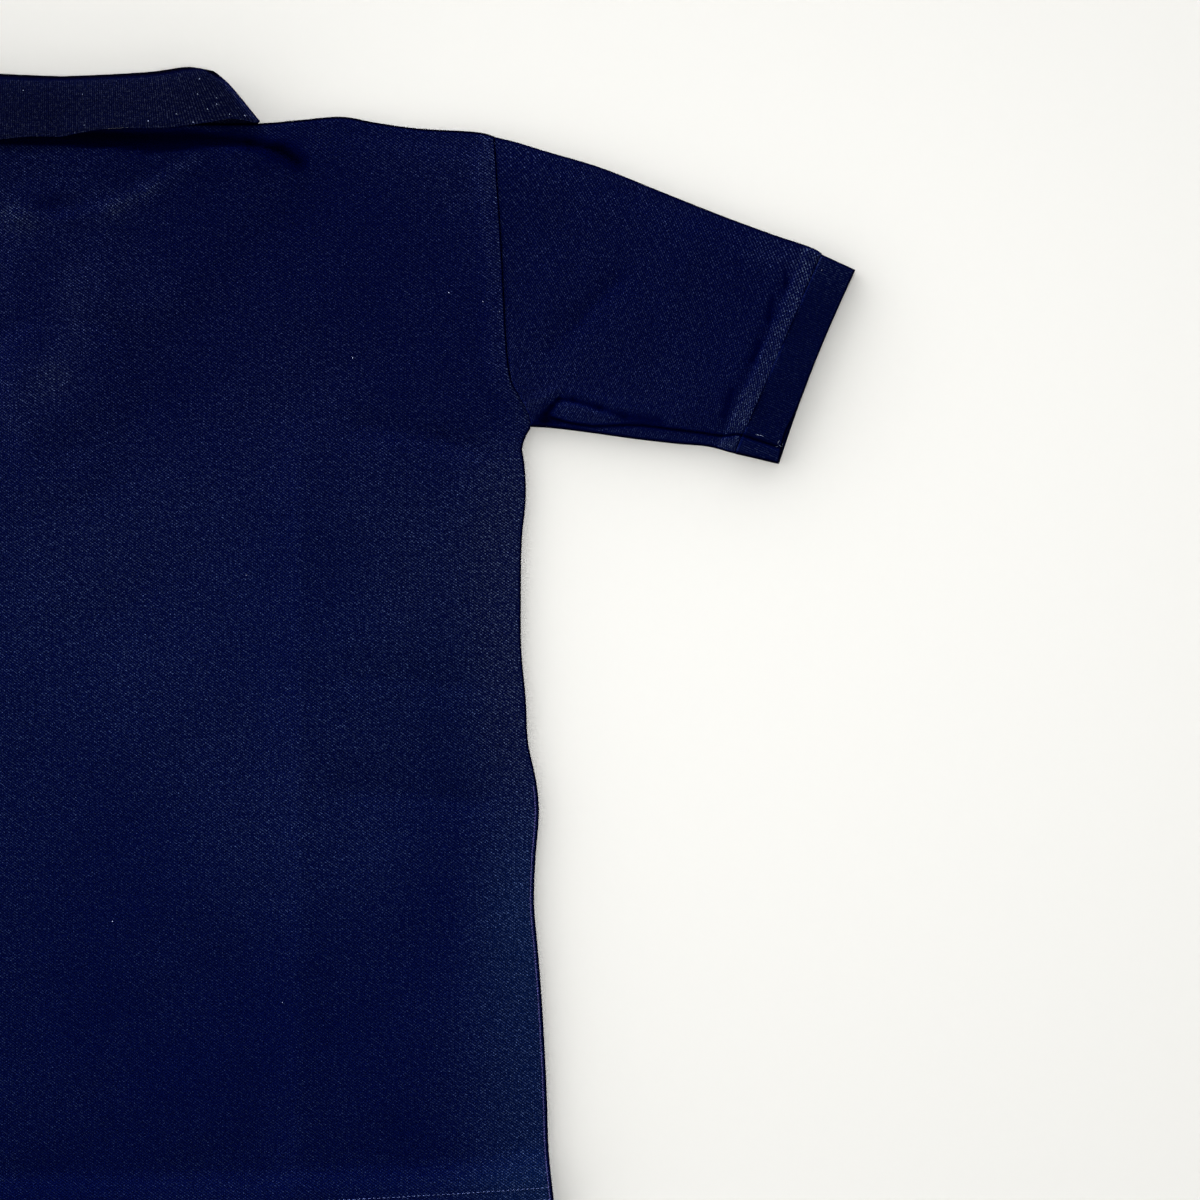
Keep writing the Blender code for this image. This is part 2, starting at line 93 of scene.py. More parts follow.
BUTTON_HEIGHTS = {"button_top": -88, "button_low": -157}
BUTTON_LIFT = 2.4
LEAF_LIFT = RIB + SEAM

# What lies under a panel: a line, the flat top's reach, the slope's reach, the height
FRONT_PADS = (
    (97, -5, 45, -72, 38, 30, LEAF_LIFT), (-97, -5, -45, -72, 38, 30, LEAF_LIFT),
    (0, -88, 0, -88, 14, 30, BUTTON_LIFT), (0, -157, 0, -157, 14, 30, BUTTON_LIFT),
)
BACK_PADS = (
    (-52, -24, 52, -24, 32, 30, 5), (0, -68, 0, -96, 24, 36, 5.9), (0, -152, 0, -164, 20, 40, 5.9),
    (0, -60, 0, -205, 20, 28, 4.2),
)
BACK_FOLDS = (  # a line, how far it rises, its reach
    (149, -204, 149, -664, 0.9, 16), (-149, -230, -149, -650, 0.8, 18),
    (-60, -20, 108, -19, 1.3, 9), (108, -19, 146, -30, 1, 10), (190, -189, 284, -209, -0.9, 12),
    (-175, -196, -284, -212, -0.8, 14), (186, -344, 286, -351, -0.8, 14),
    (-170, -366, -280, -352, -0.7, 16), (176, -414, 262, -424, -0.7, 14),
    (11, -316, 36, -311, -0.6, 18), (-90, -470, -30, -500, -0.6, 20),
)
BACK_CREASES = (  # finer ones, that the solid leaves out
    (149, -204, 149.5, -470, 0.35, 3.2), (149.5, -470, 148, -664, 0.22, 4),
    (-149, -230, -149, -650, 0.3, 3.6),
    (84, -24, 56, -42.5, 0.8, 4.6),  # over the front's neck seam
    (56, -42.5, 31, -54.5, 0.8, 4.4), (31, -54.5, 4, -61.5, 0.45, 4.6),
    (4, -61.5, -27, -60.5, 0.55, 4.6), (-27, -60.5, -58, -44, 0.7, 4.6),
    (-58, -44, -82, -27, 0.6, 5), (-5, -53, 12, -50, -0.7, 6), (188, -190, 240, -197, -0.3, 4),
    (240, -197, 286, -210, -0.45, 4.5), (206, -203, 262, -214, 0.3, 5),
    (149, -344, 172, -372, -0.35, 5), (186, -347, 250, -352, -0.3, 4.5),
    (176, -416, 262, -424, -0.3, 5), (-196, -347, -266, -359, -0.3, 5),
    (-180, -205, -280, -214, -0.4, 5), (-210, -420, -280, -432, 0.25, 6),
    (96, -96, 150, -122, 0.25, 12), (-96, -120, -160, -96, 0.25, 12),
    (60, -196, 120, -236, 0.2, 14),
)
ALLOWANCE_RISE = 0.5  # over the side seam's allowance
ALLOWANCE = 11
ALLOWANCE_SLOPE = 8.0
SEAM_FADE = 30
HEM_SLOPE = 30

# Edges: how far in the wall rounds off, and by how much
EDGE_ROLL = 2.4
SIDE_DROP = 0.55
TOP_DROP = 0.45
FRONT_LIFT = 0.4
EDGE_STRIP = 12  # the strip along a side where a panel's columns stand close
EDGE_COLUMNS = (9, 6, 4, 2.6, 1.6, 0.8, 0)

# Sleeve: share of its length, then the top and bottom edges of the flattened tube
SLEEVE_ROWS = (
    (0, 271, -9.6, 293.4, -190.6),
    (0.06, 283.5, -12.6, 297, -190.8),
    (0.16, 303, -18.6, 306.5, -191.4),
    (0.32, 336, -28.4, 329.5, -194.2),
    (0.5, 373.8, -43.4, 356.5, -198),
    (0.7, 411, -58.2, 384, -201.2),
    (0.86, 444, -70.4, 404, -203),
    (0.97, 470.4, -79.5, 417.2, -206.5),
    (1, 474.6, -82.2, 420, -207.2),
)
SLEEVE_GAP = 2.0
SLEEVE_AIR = 0.9
SLEEVE_ROLL = 24
SLEEVE_FOLDS = (
    (322, -178, 380, -192, 1, 8), (346, -99, 306, -141, -0.7, 11), (463, -92, 416, -196, -0.6, 7),
)
SLEEVE_CREASES = (
    (346, -99, 322, -124, -0.4, 4), (322, -124, 306, -141, -0.3, 5),
    (311, -172, 305.5, -178.5, -0.9, 2),  # the fold that runs into the armpit
    (305.5, -178.5, 300, -185.5, -1.2, 2.6), (302, -186.8, 311, -187.6, -0.7, 2.4),
    (316, -180, 342, -185.5, 0.6, 4.6), (398, -70, 380, -120, 0.25, 9),
    (330, -60, 306, -96, 0.2, 9),
)
SLEEVE_DIMPLES = (  # a line, how far it rises, its reach, its painted shade (a painted highlight where above nothing) and that one's reach
    (290, -178, 309, -168.5, 0.45, 3.6, 0.1, 4), (310.5, -173.4, 320, -174.4, -0.55, 2.4, -0.4, 1.5),
    (320, -174.4, 336, -179.2, -0.6, 2.6, -0.34, 1.8),
    (336, -179.2, 352, -184.2, -0.5, 2.8, -0.24, 2.2),
    (352, -184.2, 374, -187, -0.3, 3.2, -0.18, 3),
    (451.8, -91.5, 452.4, -103, -0.42, 2.4, -0.28, 1.5),  # beside the cuff seam's allowance
    (450.6, -104, 446, -110, -0.12, 3, -0.05, 2.4),
    (443.4, -112, 441.4, -124, -0.38, 2.4, -0.28, 1.6),
    (435.4, -138, 431.4, -149, -0.3, 2.6, -0.2, 1.8), (430, -150, 421, -166, -0.1, 3, -0.06, 2.6),
    (418.4, -168, 413.6, -184, -0.32, 2.8, -0.22, 2),
)
UNDERARM_SEAM = (  # across, height
    (305.5, -184.7), (317.5, -188.3), (332, -190.2), (347.7, -189.5), (362.3, -189.6),
    (398.8, -194.3), (413.2, -196.4), (422.5, -195.1), (435.4, -199.3), (447.5, -203.2),
)

# Cuff: the same, from its seam to its opening
CUFF_ROWS = (
    (0, 474.6, -82.9, 420.3, -207.4),
    (0.5, 485.2, -87.8, 434.1, -210.6),
    (1, 495.6, -92.6, 447.9, -213.9),
)
CUFF_GAP = 2.5
CUFF_AIR = 0.3
CUFF_DIP = 2.2  # how far the opening's edge curves in
CUFF_BARE = (0.87, 0.1, 2.4)  # where the layer below sticks out of it: share, reach, how far

# Collar: seam, top of the stand, fold, top of the fall and edge of each section
COLLAR_ROWS = (
    ((0, -5, 5), (0, 25.4, 1.8), (0, 27.4, 3.6), (0, 25.4, 5.6), (0, -9.3, 7.4)),
    ((30, -4.4, 5), (30.2, 26.4, 2.1), (30, 28.6, 3.9), (30.2, 26.4, 5.9), (31, -4.8, 8.4)),
    ((57, -2.9, 5.2), (59.9, 28.2, 3.4), (59, 30.4, 4.9), (60, 28.2, 6.8), (64, -4.3, 8.8)),
    ((70, -1.8, 5.4), (79.3, 31.2, 5.2), (79, 32.9, 6.6), (80.3, 31.2, 8), (93, -1, 8.4)),
    ((74.8, -1.1, 5.45), (84.9, 30.6, 5.33), (86.6, 31.9, 6.63), (89.1, 30.9, 8.18), (107, 1.2, 8)),
    ((77.1, 1.4, 5.79), (85.8, 27.2, 5.46), (91.7, 31.2, 6.04), (99.7, 25.1, 7.15), (121.3, -0.8, 7)),
    ((79.2, 1, 4.31), (87.6, 25.2, 4.34), (92.8, 30.9, 3.9), (102, 25, 3.93), (123.6, -0.3, 3.95)),
    ((78.5, -0.9, 2.6), (85.1, 21.7, 3.01), (91.3, 28.5, 1.44), (99.9, 23.1, 0.65), (120.8, -2, 0.75)),
    ((77, -4.8, 2.67), (79, 17.4, 3.12), (84.4, 21, 1.71), (89.8, 21.5, 0.65), (117.5, -3.5, 0.65)),
    ((76.6, -9.5, 2.7), (74.9, 14.2, 3), (75.2, 16.3, 1.85), (77.1, 16.3, 0.65), (116.5, -9.5, 0.65)),
    ((75.3, -16.5, 2.7), (66.6, 5.2, 3.05), (66.3, 6.5, 1.85), (67.6, 6.3, 0.65), (112, -21.5, 0.65)),
    ((71.4, -26.5, 2.7), (57.5, -8.3, 3.05), (56.5, -7.5, 1.85), (57.5, -8.3, 0.65), (106, -37, 0.65)),
    ((61.2, -41, 2.7), (45.9, -23.4, 3.05), (45, -22.5, 1.85), (45.9, -23.4, 0.65), (97, -54, 0.65)),
    ((44, -54.8, 2.7), (31.7, -36, 3.05), (31, -35, 1.85), (31.7, -36, 0.65), (82, -72, 0.65)),
    ((23.5, -63.6, 2.7), (15.5, -44.8, 3.05), (15, -43.6, 1.85), (15.5, -44.8, 0.65), (68, -85, 0.65)),
    ((3, -66.6, 2.7), (2.3, -47.8, 3.05), (2, -46.6, 1.85), (2.3, -47.8, 0.65), (58, -91, 0.65)),
)
LEFT_SAG = (-44, 30, 7.4)  # where the fall hangs lower: across, its reach, how far

# Camera: the middle of what it sees, and how wide that is
FRAME_MIDDLE = (336.25, -298.75)
FRAME_WIDTH = 750
CAMERA_HEIGHT = 2400

# Finishes
TURN_AROUND = 2 * math.pi
SPECULAR = 0.004  # knit has hardly any shine
PIQUE_ACROSS = 2.62 * MM  # from stitch to stitch along a course
PIQUE_ALONG = 1.8 * MM  # from course to course of the same stitches
PIQUE_SLANT = 0.68  # how far the rows that fall to the right outdo those that rise
PIQUE_RELIEF = 0.2 * MM
RIB_PITCH = 1.3 * MM
COURSE_PITCH = 1.25 * MM
COLLAR_RELIEF = 0.22 * MM
CUFF_RELIEF = 0.1 * MM
# painted shade, between the stitches, and on them where painted sheen and wear make them paler
PIQUE_TONES = ((0.0001, 0.0002, 0.0055), (0.0001, 0.0009, 0.0198), (0.085, 0.12, 0.285))
# the same with a painted teal reflection towards the hem: between the stitches, on them, and between
# them where it lies over the side's painted sheen
HAZE_TONES = ((0.0001, 0.0012, 0.024), (0.076, 0.125, 0.285), (0.0006, 0.006, 0.0345))
# Heights along the body and a place across it, in metres, between which a tone gives way
HAZE_HEIGHT = (-0.34, -0.12)
HAZE_GROUND_HEIGHT = (-0.56, -0.36)
UPPER_HEIGHT = (-0.47, -0.38)
SIDE_FROM = (0.13, 0.23)
# the rib knits' three tones: painted shade, between the stitches, and on them where they are paler
RIB_TONES = ((0.0001, 0.0001, 0.0045), (0.0004, 0.001, 0.0125), (0.095, 0.115, 0.2))
CUFF_TONES = ((0.0001, 0.0001, 0.0045), (0.0001, 0.001, 0.017), (0.09, 0.125, 0.26))
SHEEN_GREY = (0.08, 0.112, 0.205)  # greyer stitch tops where the painted sheen and wear are strong on the upper body
SIDE_GROUND = (0.0001, 0.0011, 0.0205)  # between the stitches towards the right side
EDGE_SHADE_TONE = (0.0, 0.0, 0.0006)  # painted shade along cut and folded edges
LINT = (0.3, 0.33, 0.46)
PIQUE_LINT = (95, 0.4 * MM, 0.02)  # cells to the metre, a dot's radius, share of the cells
COLLAR_LINT = (110, 0.42 * MM, 0.04)
CUFF_LINT = (110, 0.42 * MM, 0.03)
PATCHES = (11, 3.0, 0.5)  # noise in a knit: its scale to the metre, detail and roughness
SPECKLE = (600, 2.0, 0.7)
MOTTLE = (290, 2.0, 0.6)
THREAD_NAVY = (0.02, 0.03, 0.095)
THREAD_LIGHT = (0.085, 0.11, 0.24)
THREAD_WHITE = (0.42, 0.47, 0.6)
THREAD_DUSTY = ((0.012, 0.012, 0.055), (0.048, 0.043, 0.13))
RESIN_NAVY = (0.004, 0.006, 0.028)
RESIN_LIGHT = (0.01, 0.014, 0.05)
FLOOR = (0.85, 0.842, 0.808)


def ease(distance, reach):
    """0 at a distance of nothing, 1 from reach on, and smooth between."""
    t = np.clip(distance / reach, 0.0, 1.0)
    return t * t * (3 - 2 * t)


def fade(distance, reach):
    """1 at a distance of nothing, 0 from reach on, and smooth between."""
    return 1 - ease(distance, reach)


def within(distance, first, rise, last, fall):
    """1 from the first distance to the last, and smooth down to 0 outside them."""
    return ease(distance - first, rise) * fade(distance - last, fall)


def bell(distance, reach):
    """1 at a distance of nothing, and falling off like a bell."""
    return np.exp(-((distance / reach) ** 2))


def higher(a, b, soft=0.6):
    """The larger of two heights, with the kink between them rounded."""
    return 0.5 * (a + b + np.hypot(a - b, soft)) - 0.25 * soft


def line_distance(x, y, x0, y0, x1, y1):
    dx, dy = x1 - x0, y1 - y0
    along = max(dx * dx + dy * dy, 1e-9)
    t = np.clip(((x - x0) * dx + (y - y0) * dy) / along, 0.0, 1.0)
    return np.hypot(x - x0 - t * dx, y - y0 - t * dy)


def folds(x, y, table):
    """What lines with an amount and a reach add up to."""
    total = np.zeros_like(x)
    for *line, rise, reach in table:
        total += rise * bell(line_distance(x, y, *line), reach)
    return total


def waves(x, y, table):
    """Soft unevenness: sine waves with a length, a direction, a start and a height."""
    total = np.zeros_like(x)
    for length, direction, start, rise in table:
        a = math.radians(direction)
        along = x * math.cos(a) + y * math.sin(a)
        total += rise * np.sin(TURN_AROUND * along / length + start)
    return total


def between(a, b, first, last, t):
    return (a * (last - t) + b * (t - first)) / (last - first)


def curve(points, steps):
    """A smooth curve through the given points, with so many steps to each span."""
    p = [np.array(q, float) for q in points]
    p = [2 * p[0] - p[1], *p, 2 * p[-1] - p[-2]]
    knots = [0.0]
    for a, b in zip(p, p[1:]):
        knots.append(knots[-1] + math.sqrt(np.linalg.norm(b - a)))
    found = [p[1]]
    for i, count in enumerate(np.broadcast_to(steps, len(points) - 1)):
        t0, t1, t2, t3 = knots[i : i + 4]
        q0, q1, q2, q3 = p[i : i + 4]
        for step in range(1, count + 1):
            t = t1 + (t2 - t1) * step / count
            a1 = between(q0, q1, t0, t1, t)
            a2 = between(q1, q2, t1, t2, t)
            a3 = between(q2, q3, t2, t3, t)
            b1 = between(a1, a2, t0, t2, t)
            b2 = between(a2, a3, t1, t3, t)
            found.append(between(b1, b2, t1, t2, t))
    return found


SIDE_LINE = np.array(curve(SIDE_ROWS, 5))
SHOULDER_LINE = np.array(curve(SHOULDER, 5))


def half_width(y):
    return np.interp(y, SIDE_LINE[:, 0], SIDE_LINE[:, 1])


def shoulder_edge(x):
    return np.interp(np.abs(x), SHOULDER_LINE[:, 0], SHOULDER_LINE[:, 1])


def neckline(x, drop, power):
    share = (1 - np.minimum(np.abs(x) / NECK_HALF, 1.0) ** 2) ** power
    neck = NECK_CORNER - (drop + NECK_CORNER) * share
    return np.where(np.abs(x) >= NECK_HALF, shoulder_edge(x), neck)


def back_top(x):
    return neckline(x, NECK_DROP_BACK, 1.0)


def front_top(x):
    return neckline(x, NECK_DROP_FRONT, 0.5)


def hem_height(x):
    return HEM_SIDE - HEM_SAG * (1 - (x / HEM_HALF) ** 2)


def front_middle(x, y):
    lift = np.zeros_like(x)
    for *line, flat, slope, rise in FRONT_PADS:
        lift = np.maximum(lift, rise * fade(line_distance(x, y, *line) - flat, slope))
    return CLOTH / 2 + lift


def back_middle(x, y):
    half = half_width(y)
    to_side = np.hypot(np.maximum(half - np.abs(x), 0.0), np.maximum(y - ARMPIT, 0.0))
    below, beside = shoulder_edge(x) - y, NECK_HALF - np.abs(x)
    to_shoulder = np.hypot(np.maximum(below, 0.0), np.maximum(beside, 0.0))
    loose = ease(to_side, ROLL_SIDE) * ease(to_shoulder, ROLL_SHOULDER)
    touching = front_middle(x, y) + LAYER
    height = touching + loose * AIR
    for *line, flat, slope, level in BACK_PADS:
        share = fade(line_distance(x, y, *line) - flat, slope)
        height = higher(height, touching + (level - touching) * share)
    at_hem = fade(y - hem_height(x) - HEM_DEPTH - 1.0, HEM_SLOPE)
    height = higher(height, touching + 2 * TURN * at_hem, 0.2)
    seam_side = fade(half - np.abs(x) - ALLOWANCE, ALLOWANCE_SLOPE) * (y > ARMPIT)
    height = height + ALLOWANCE_RISE * seam_side * ease(to_side, SEAM_FADE) * ease(-y, SEAM_FADE)
    return height + loose * folds(x, y, BACK_FOLDS)


BACK_WAVES = (  # length, direction, start, rise
    (173, 24, 0.4, 0.22), (121, 97, 1.9, 0.2), (88, 141, 2.6, 0.13), (61, 63, 4.4, 0.08),
    (43, 12, 5.3, 0.05), (34, 115, 0.9, 0.04),
)
# The hollow under the collar's fall: across, its lower rim's height, its width, its depth
HOLLOW = (
    (-110, -8, 6, 0), (-84, -14, 12, 1.2), (-50, -15.5, 13, 1.6), (0, -16.6, 13, 2),
    (24, -17.6, 14, 3.2), (42, -18.4, 14, 2.6), (54, -20, 15, 1.4), (67, -20.4, 15.5, 1.3),
    (76, -18.8, 14.2, 1.3), (86, -17.8, 12.4, 1.4), (98, -17.2, 10, 1.5), (105, -16.6, 8, 1.4),
    (112, -17, 7.2, 1.2), (126, -18, 5, 1.2), (133, -20.1, 5.6, 1.3), (140, -22.9, 6.2, 1.3),
    (145, -27, 6.8, 1), (151, -31, 5, 0),
)


def hollow(x, y):
    """1 in the hollow and 0 outside it, how deep it is, and how far a place is above its rim."""
    across, *columns = zip(*HOLLOW)
    rim, width, depth = (np.interp(x, across, column) for column in columns)
    above = y - rim
    return within(above, 0.0, 2.2, width - 3.5, 4), depth, above


RUNNING_ON = (-1.5, 3.0, 16, 14)  # where the back runs on into the sleeve above the armpit
ARMHOLE_RIDGE = (0.8, 2.2, 9.0, 3.5)  # the sleeve seam's allowance, and how far it rises
ARMHOLE_RISE = 0.32


def at_armpit(y):
    return within(y - ARMPIT, *RUNNING_ON)


def back_face(x, y):
    """The back's wall middle with its finer creases, seam ridges and rounded edges."""
    inset = half_width(y) - np.abs(x)
    inner = ease(inset, 26) * ease(back_top(x) - y, 18)
    height = back_middle(x, y) + inner * (folds(x, y, BACK_CREASES) + waves(x, y, BACK_WAVES))
    inside, depth, _ = hollow(x, y)
    height = height - depth * inside * ease(back_top(x) - y, 4)
    sewn = ease(y - ARMPIT, 20) * ease(-y, 14)
    height = height + ARMHOLE_RISE * sewn * within(inset, *ARMHOLE_RIDGE)
    height = height - SIDE_DROP * (1 - at_armpit(y)) * fade(inset, EDGE_ROLL)
    return height - TOP_DROP * fade(back_top(x) - y, EDGE_ROLL)


def front_face(x, y):
    """The front's, seen from below: its free edges turn up."""
    at_side = fade(half_width(y) - np.abs(x), EDGE_ROLL)
    at_top = fade(front_top(x) - y, EDGE_ROLL) * (np.abs(x) > NECK_HALF)
    return front_middle(x, y) + FRONT_LIFT * (at_side + at_top)


def spread(stops, step):
    """Places from the first stop through the others to the last, at most a step apart."""
    found = [stops[0]]
    for a, b in zip(stops, stops[1:]):
        count = max(1, math.ceil(abs(b - a) / step))
        found += [a + (b - a) * k / count for k in range(1, count + 1)]
    return np.array(found)


def panel_columns(step):
    """Where the columns of a panel stand, for a half width of HEM_HALF."""
    near = spread((0.0, PLACKET_HALF, NECK_HALF, HEM_HALF - EDGE_STRIP), step)
    right = np.concatenate((near, HEM_HALF - np.array(EDGE_COLUMNS)))
    return np.concatenate((-right[:0:-1], right))


def at_width(columns, half):
    """The columns moved to a section's own half width, with the neck's kept in place."""
    reach = np.abs(columns)
    near, far = NECK_HALF, HEM_HALF - EDGE_STRIP
    middle = near + (reach - near) * (half - EDGE_STRIP - near) / (far - near)
    moved = np.where(reach > far, half - (HEM_HALF - reach), middle)
    return np.sign(columns) * np.where(reach <= near, reach, moved)


FINE_ROWS = (-75, -14)  # heights between which a panel's rows stand closer
TOP_ROWS = (-12.4, -11.2, -10.4, -9.8, SHOULDER_END)
HEM_FOLD = ((0.3, 0.85), (0, 0.5), (0.3, 0.15), (1, 0))  # shares of its bend and its turn


def panel(top, face, turn, step):
    """Points of a body panel, from the raw edge of its turned-up hem to the neck."""
    columns = panel_columns(step)
    nominal = spread((HEM_SIDE, PLACKET_END, FINE_ROWS[0]), step)[1:]
    nominal = np.concatenate((nominal, spread(FINE_ROWS, 0.6 * step)[1:], TOP_ROWS))
    bend = 0.8 * abs(turn)
    turned = [(inset, 1.0) for inset in spread((HEM_DEPTH, bend), 4.0)]
    turned += [(share * bend, level) for share, level in HEM_FOLD]
    rows = []
    for inset, level in turned:
        x = at_width(columns, half_width(HEM_SIDE + inset) - SEAM / 2)
        y = hem_height(x) + inset
        rows.append(np.stack((x, y, face(x, y) + turn * level), axis=1))
    for height in nominal:
        x = at_width(columns, half_width(height) - SEAM / 2)
        share = np.clip((height - TOP_BEND_FROM) / (SHOULDER_END - TOP_BEND_FROM), 0, 1)
        low = np.clip((HEM_BEND_TO - height) / (HEM_BEND_TO - HEM_SIDE), 0, 1)
        sag = HEM_SAG * (1 - np.minimum(1.0, np.abs(x) / HEM_HALF) ** 2)
        y = height + (top(x) - SHOULDER_END) * share - sag * low
        rows.append(np.stack((x, y, face(x, y)), axis=1))
    return np.array(rows)


def arc_lengths(points):
    """How far each point is along the grid's two directions, in millimetres."""
    down = np.linalg.norm(np.diff(points, axis=0), axis=2)
    across = np.linalg.norm(np.diff(points, axis=1), axis=2)
    u, v = np.zeros((2, *points.shape[:2]))
    u[1:] = np.cumsum(down.mean(axis=1))[:, None]
    v[:, 1:] = np.cumsum(across, axis=1)
    return np.stack((u, v), axis=2)


def cloth(name, points, wall, material, sheen_shade_wear, uv=None, closed=False, keep=None, even=True):
    """A cloth piece through a grid of points, with its wall's thickness to both sides.

    Its weave lies along its own width and height where it isn't given.
    """
    rows, columns = points.shape[:2]
    bm = bmesh.new()
    bmesh.ops.create_grid(bm, x_segments=columns - 1, y_segments=rows - 1, size=1.0)
    # the attribute for painted sheen, painted shade and wear
    sheen_shade_wear_layer = bm.verts.layers.float.new("sheen_shade_wear")
    weave = bm.loops.layers.uv.new("weave")
    places = (points - np.array((0.0, MIDDLE, 0.0))).reshape(-1, 3) * MM
    for vertex, place, amount in zip(bm.verts, places, sheen_shade_wear.reshape(-1)):
        vertex.co = place
        vertex[sheen_shade_wear_layer] = amount
    bm.verts.index_update()
    along = (points[:, :, :2] if uv is None else uv).reshape(-1, 2) * MM
    for face in bm.faces:
        for loop in face.loops:
            loop[weave].uv = along[loop.vert.index]
    if keep:
        centres = ((f, f.calc_center_median() / MM) for f in bm.faces)
        dropped = [f for f, c in centres if not keep(c.x, c.y + MIDDLE)]
        bmesh.ops.delete(bm, geom=dropped, context="FACES")
    if closed:
        bmesh.ops.remove_doubles(bm, verts=bm.verts, dist=1e-7)
    bmesh.ops.recalc_face_normals(bm, faces=bm.faces)
    piece = finished(name, bm, material)
    thick = piece.modifiers.new("wall", "SOLIDIFY")
    thick.thickness = wall * MM
    thick.offset = 0.0
    thick.use_even_offset = even
    return piece


def linked(name, data):
    new = bpy.data.objects.new(name, data)
    bpy.context.scene.collection.objects.link(new)
    return new


def shaped(name, bm, material):
    mesh = bpy.data.meshes.new(name)
    bm.to_mesh(mesh)
    bm.free()
    mesh.shade_smooth()
    mesh.materials.append(material)
    return linked(name, mesh)


def finished(name, bm, material):
    piece = shaped(name, bm, material)
    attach(piece, "root")
    return piece


# Shaders


class Value:
    """A number in a shader. Arithmetic on it adds Math nodes."""

    def __init__(self, nodes, socket):
        self.nodes = nodes
        self.socket = socket

    def math(self, operation, *others, first=None):
        parts = [self if first is None else first, *others]
        return self.nodes.add("ShaderNodeMath", {"operation": operation}, parts)

    def __add__(self, other):
        return self.math("ADD", other)

    def __mul__(self, other):
        return self.math("MULTIPLY", other)

    def __sub__(self, other):
        return self.math("SUBTRACT", other)

    def __rsub__(self, other):
        return self.math("SUBTRACT", self, first=other)

    def __pow__(self, other):
        return self.math("POWER", other)

    __radd__ = __add__
    __rmul__ = __mul__

    def cosine(self):
        return self.math("COSINE")

    def above(self, low, high):
        """0 below low, 1 above high, and smooth between."""
        settings = {"interpolation_type": "SMOOTHSTEP"}
        inputs = {"Value": self, "From Min": low, "From Max": high}
        return self.nodes.add("ShaderNodeMapRange", settings, inputs)


class Nodes:
    """The nodes of a material or of the studio's light."""

    def __init__(self, tree):
        self.tree = tree

    def add(self, kind, settings=None, inputs=None, output=0):
        """A new node: its settings first, then the values or links of its sockets."""
        node = self.tree.nodes.new(kind)
        for key, value in (settings or {}).items():
            setattr(node, key, value)
        pairs = enumerate(inputs) if isinstance(inputs, (list, tuple)) else (inputs or {}).items()
        for key, value in pairs:
            self.feed(node.inputs[key], value)
        return Value(self, node.outputs[output])

    def feed(self, socket, value):
        """Link or set a socket. A tuple is a colour without its alpha."""
        if isinstance(value, Value):
            self.tree.links.new(value.socket, socket)
        else:
            socket.default_value = (*value, 1.0) if isinstance(value, tuple) else value

    def blend(self, share, first, second):
        inputs = {0: share, 6: first, 7: second}
        return self.add("ShaderNodeMix", {"data_type": "RGBA"}, inputs, output=2)

    def noise(self, place, scale, detail=2.0, roughness=0.5):
        inputs = {"Vector": place, "Scale": scale, "Detail": detail, "Roughness": roughness}
        return self.add("ShaderNodeTexNoise", None, inputs)

    def weave_place(self):
        return self.add("ShaderNodeUVMap", {"uv_map": "weave"})

    def split(self, place):
        first = self.add("ShaderNodeSeparateXYZ", None, [place])
        return [Value(self, out) for out in first.socket.node.outputs]

    # the attribute for painted sheen, painted shade and wear
    def sheen_shade_wear(self):
        return self.add("ShaderNodeAttribute", {"attribute_name": "sheen_shade_wear"}, output="Fac")


class Finish(Nodes):
    """A material with one Principled shader."""

    def __init__(self, name, roughness, specular=SPECULAR):
        self.material = bpy.data.materials.new(name)
        self.material.use_nodes = True
        super().__init__(self.material.node_tree)
        self.surface = self.tree.nodes["Principled BSDF"].inputs
        self.surface["Roughness"].default_value = roughness
        self.surface["Specular IOR Level"].default_value = specular

    def bump(self, height, distance):
        normal = self.add("ShaderNodeBump", None, {"Height": height, "Distance": distance})
        self.feed(self.surface["Normal"], normal)

    def colour(self, value):
        self.feed(self.surface["Base Color"], value)


def specks(finish, place, cells, radius, share):
    """Lint: a small pale dot in some of the cells."""
    distance = finish.add("ShaderNodeTexVoronoi", None, {"Vector": place, "Scale": cells})
    chosen = finish.split(Value(finish, distance.socket.node.outputs["Color"]))[0]
    dot = 1 - distance.above(0.6 * radius * cells, radius * cells)
    return dot * chosen.above(1 - share, 1.001 - share)


def dye(finish, knit, place, tones, fading, lint):
    """Colour of a knit: dark between its stitches and paler on them.

    Its attribute is above nothing where painted sheen, painted highlights and wear make the knit
    paler, and below nothing where painted shade makes it darker. From -1 to -2 it goes on to the
    painted shade of a cut or folded edge.
    """
    shade_tone, dark, paler = tones
    sheen_shade_wear = finish.sheen_shade_wear()
    patches = finish.noise(place, *PATCHES).above(0.2, 0.8)
    speckle = finish.noise(place, *SPECKLE).above(0.44, 0.66)
    mottle = finish.noise(place, *MOTTLE).above(0.3, 0.7)
    yarn = (0.16 + 1.5 * speckle) * (0.5 + 1.0 * mottle)
    pale = knit * yarn * (sheen_shade_wear + fading * (0.6 + 0.8 * patches))
    ground = finish.blend(pale, dark, paler)
    # painted shade: towards the deepest navy below nothing, and on to near black below -1
    darker = finish.blend(sheen_shade_wear * -1.0, ground, shade_tone)
    darker = finish.blend(sheen_shade_wear * -1.0 - 1.0, darker, EDGE_SHADE_TONE)
    finish.colour(finish.blend(specks(finish, place, *lint) * 0.6, darker, LINT))
    return speckle


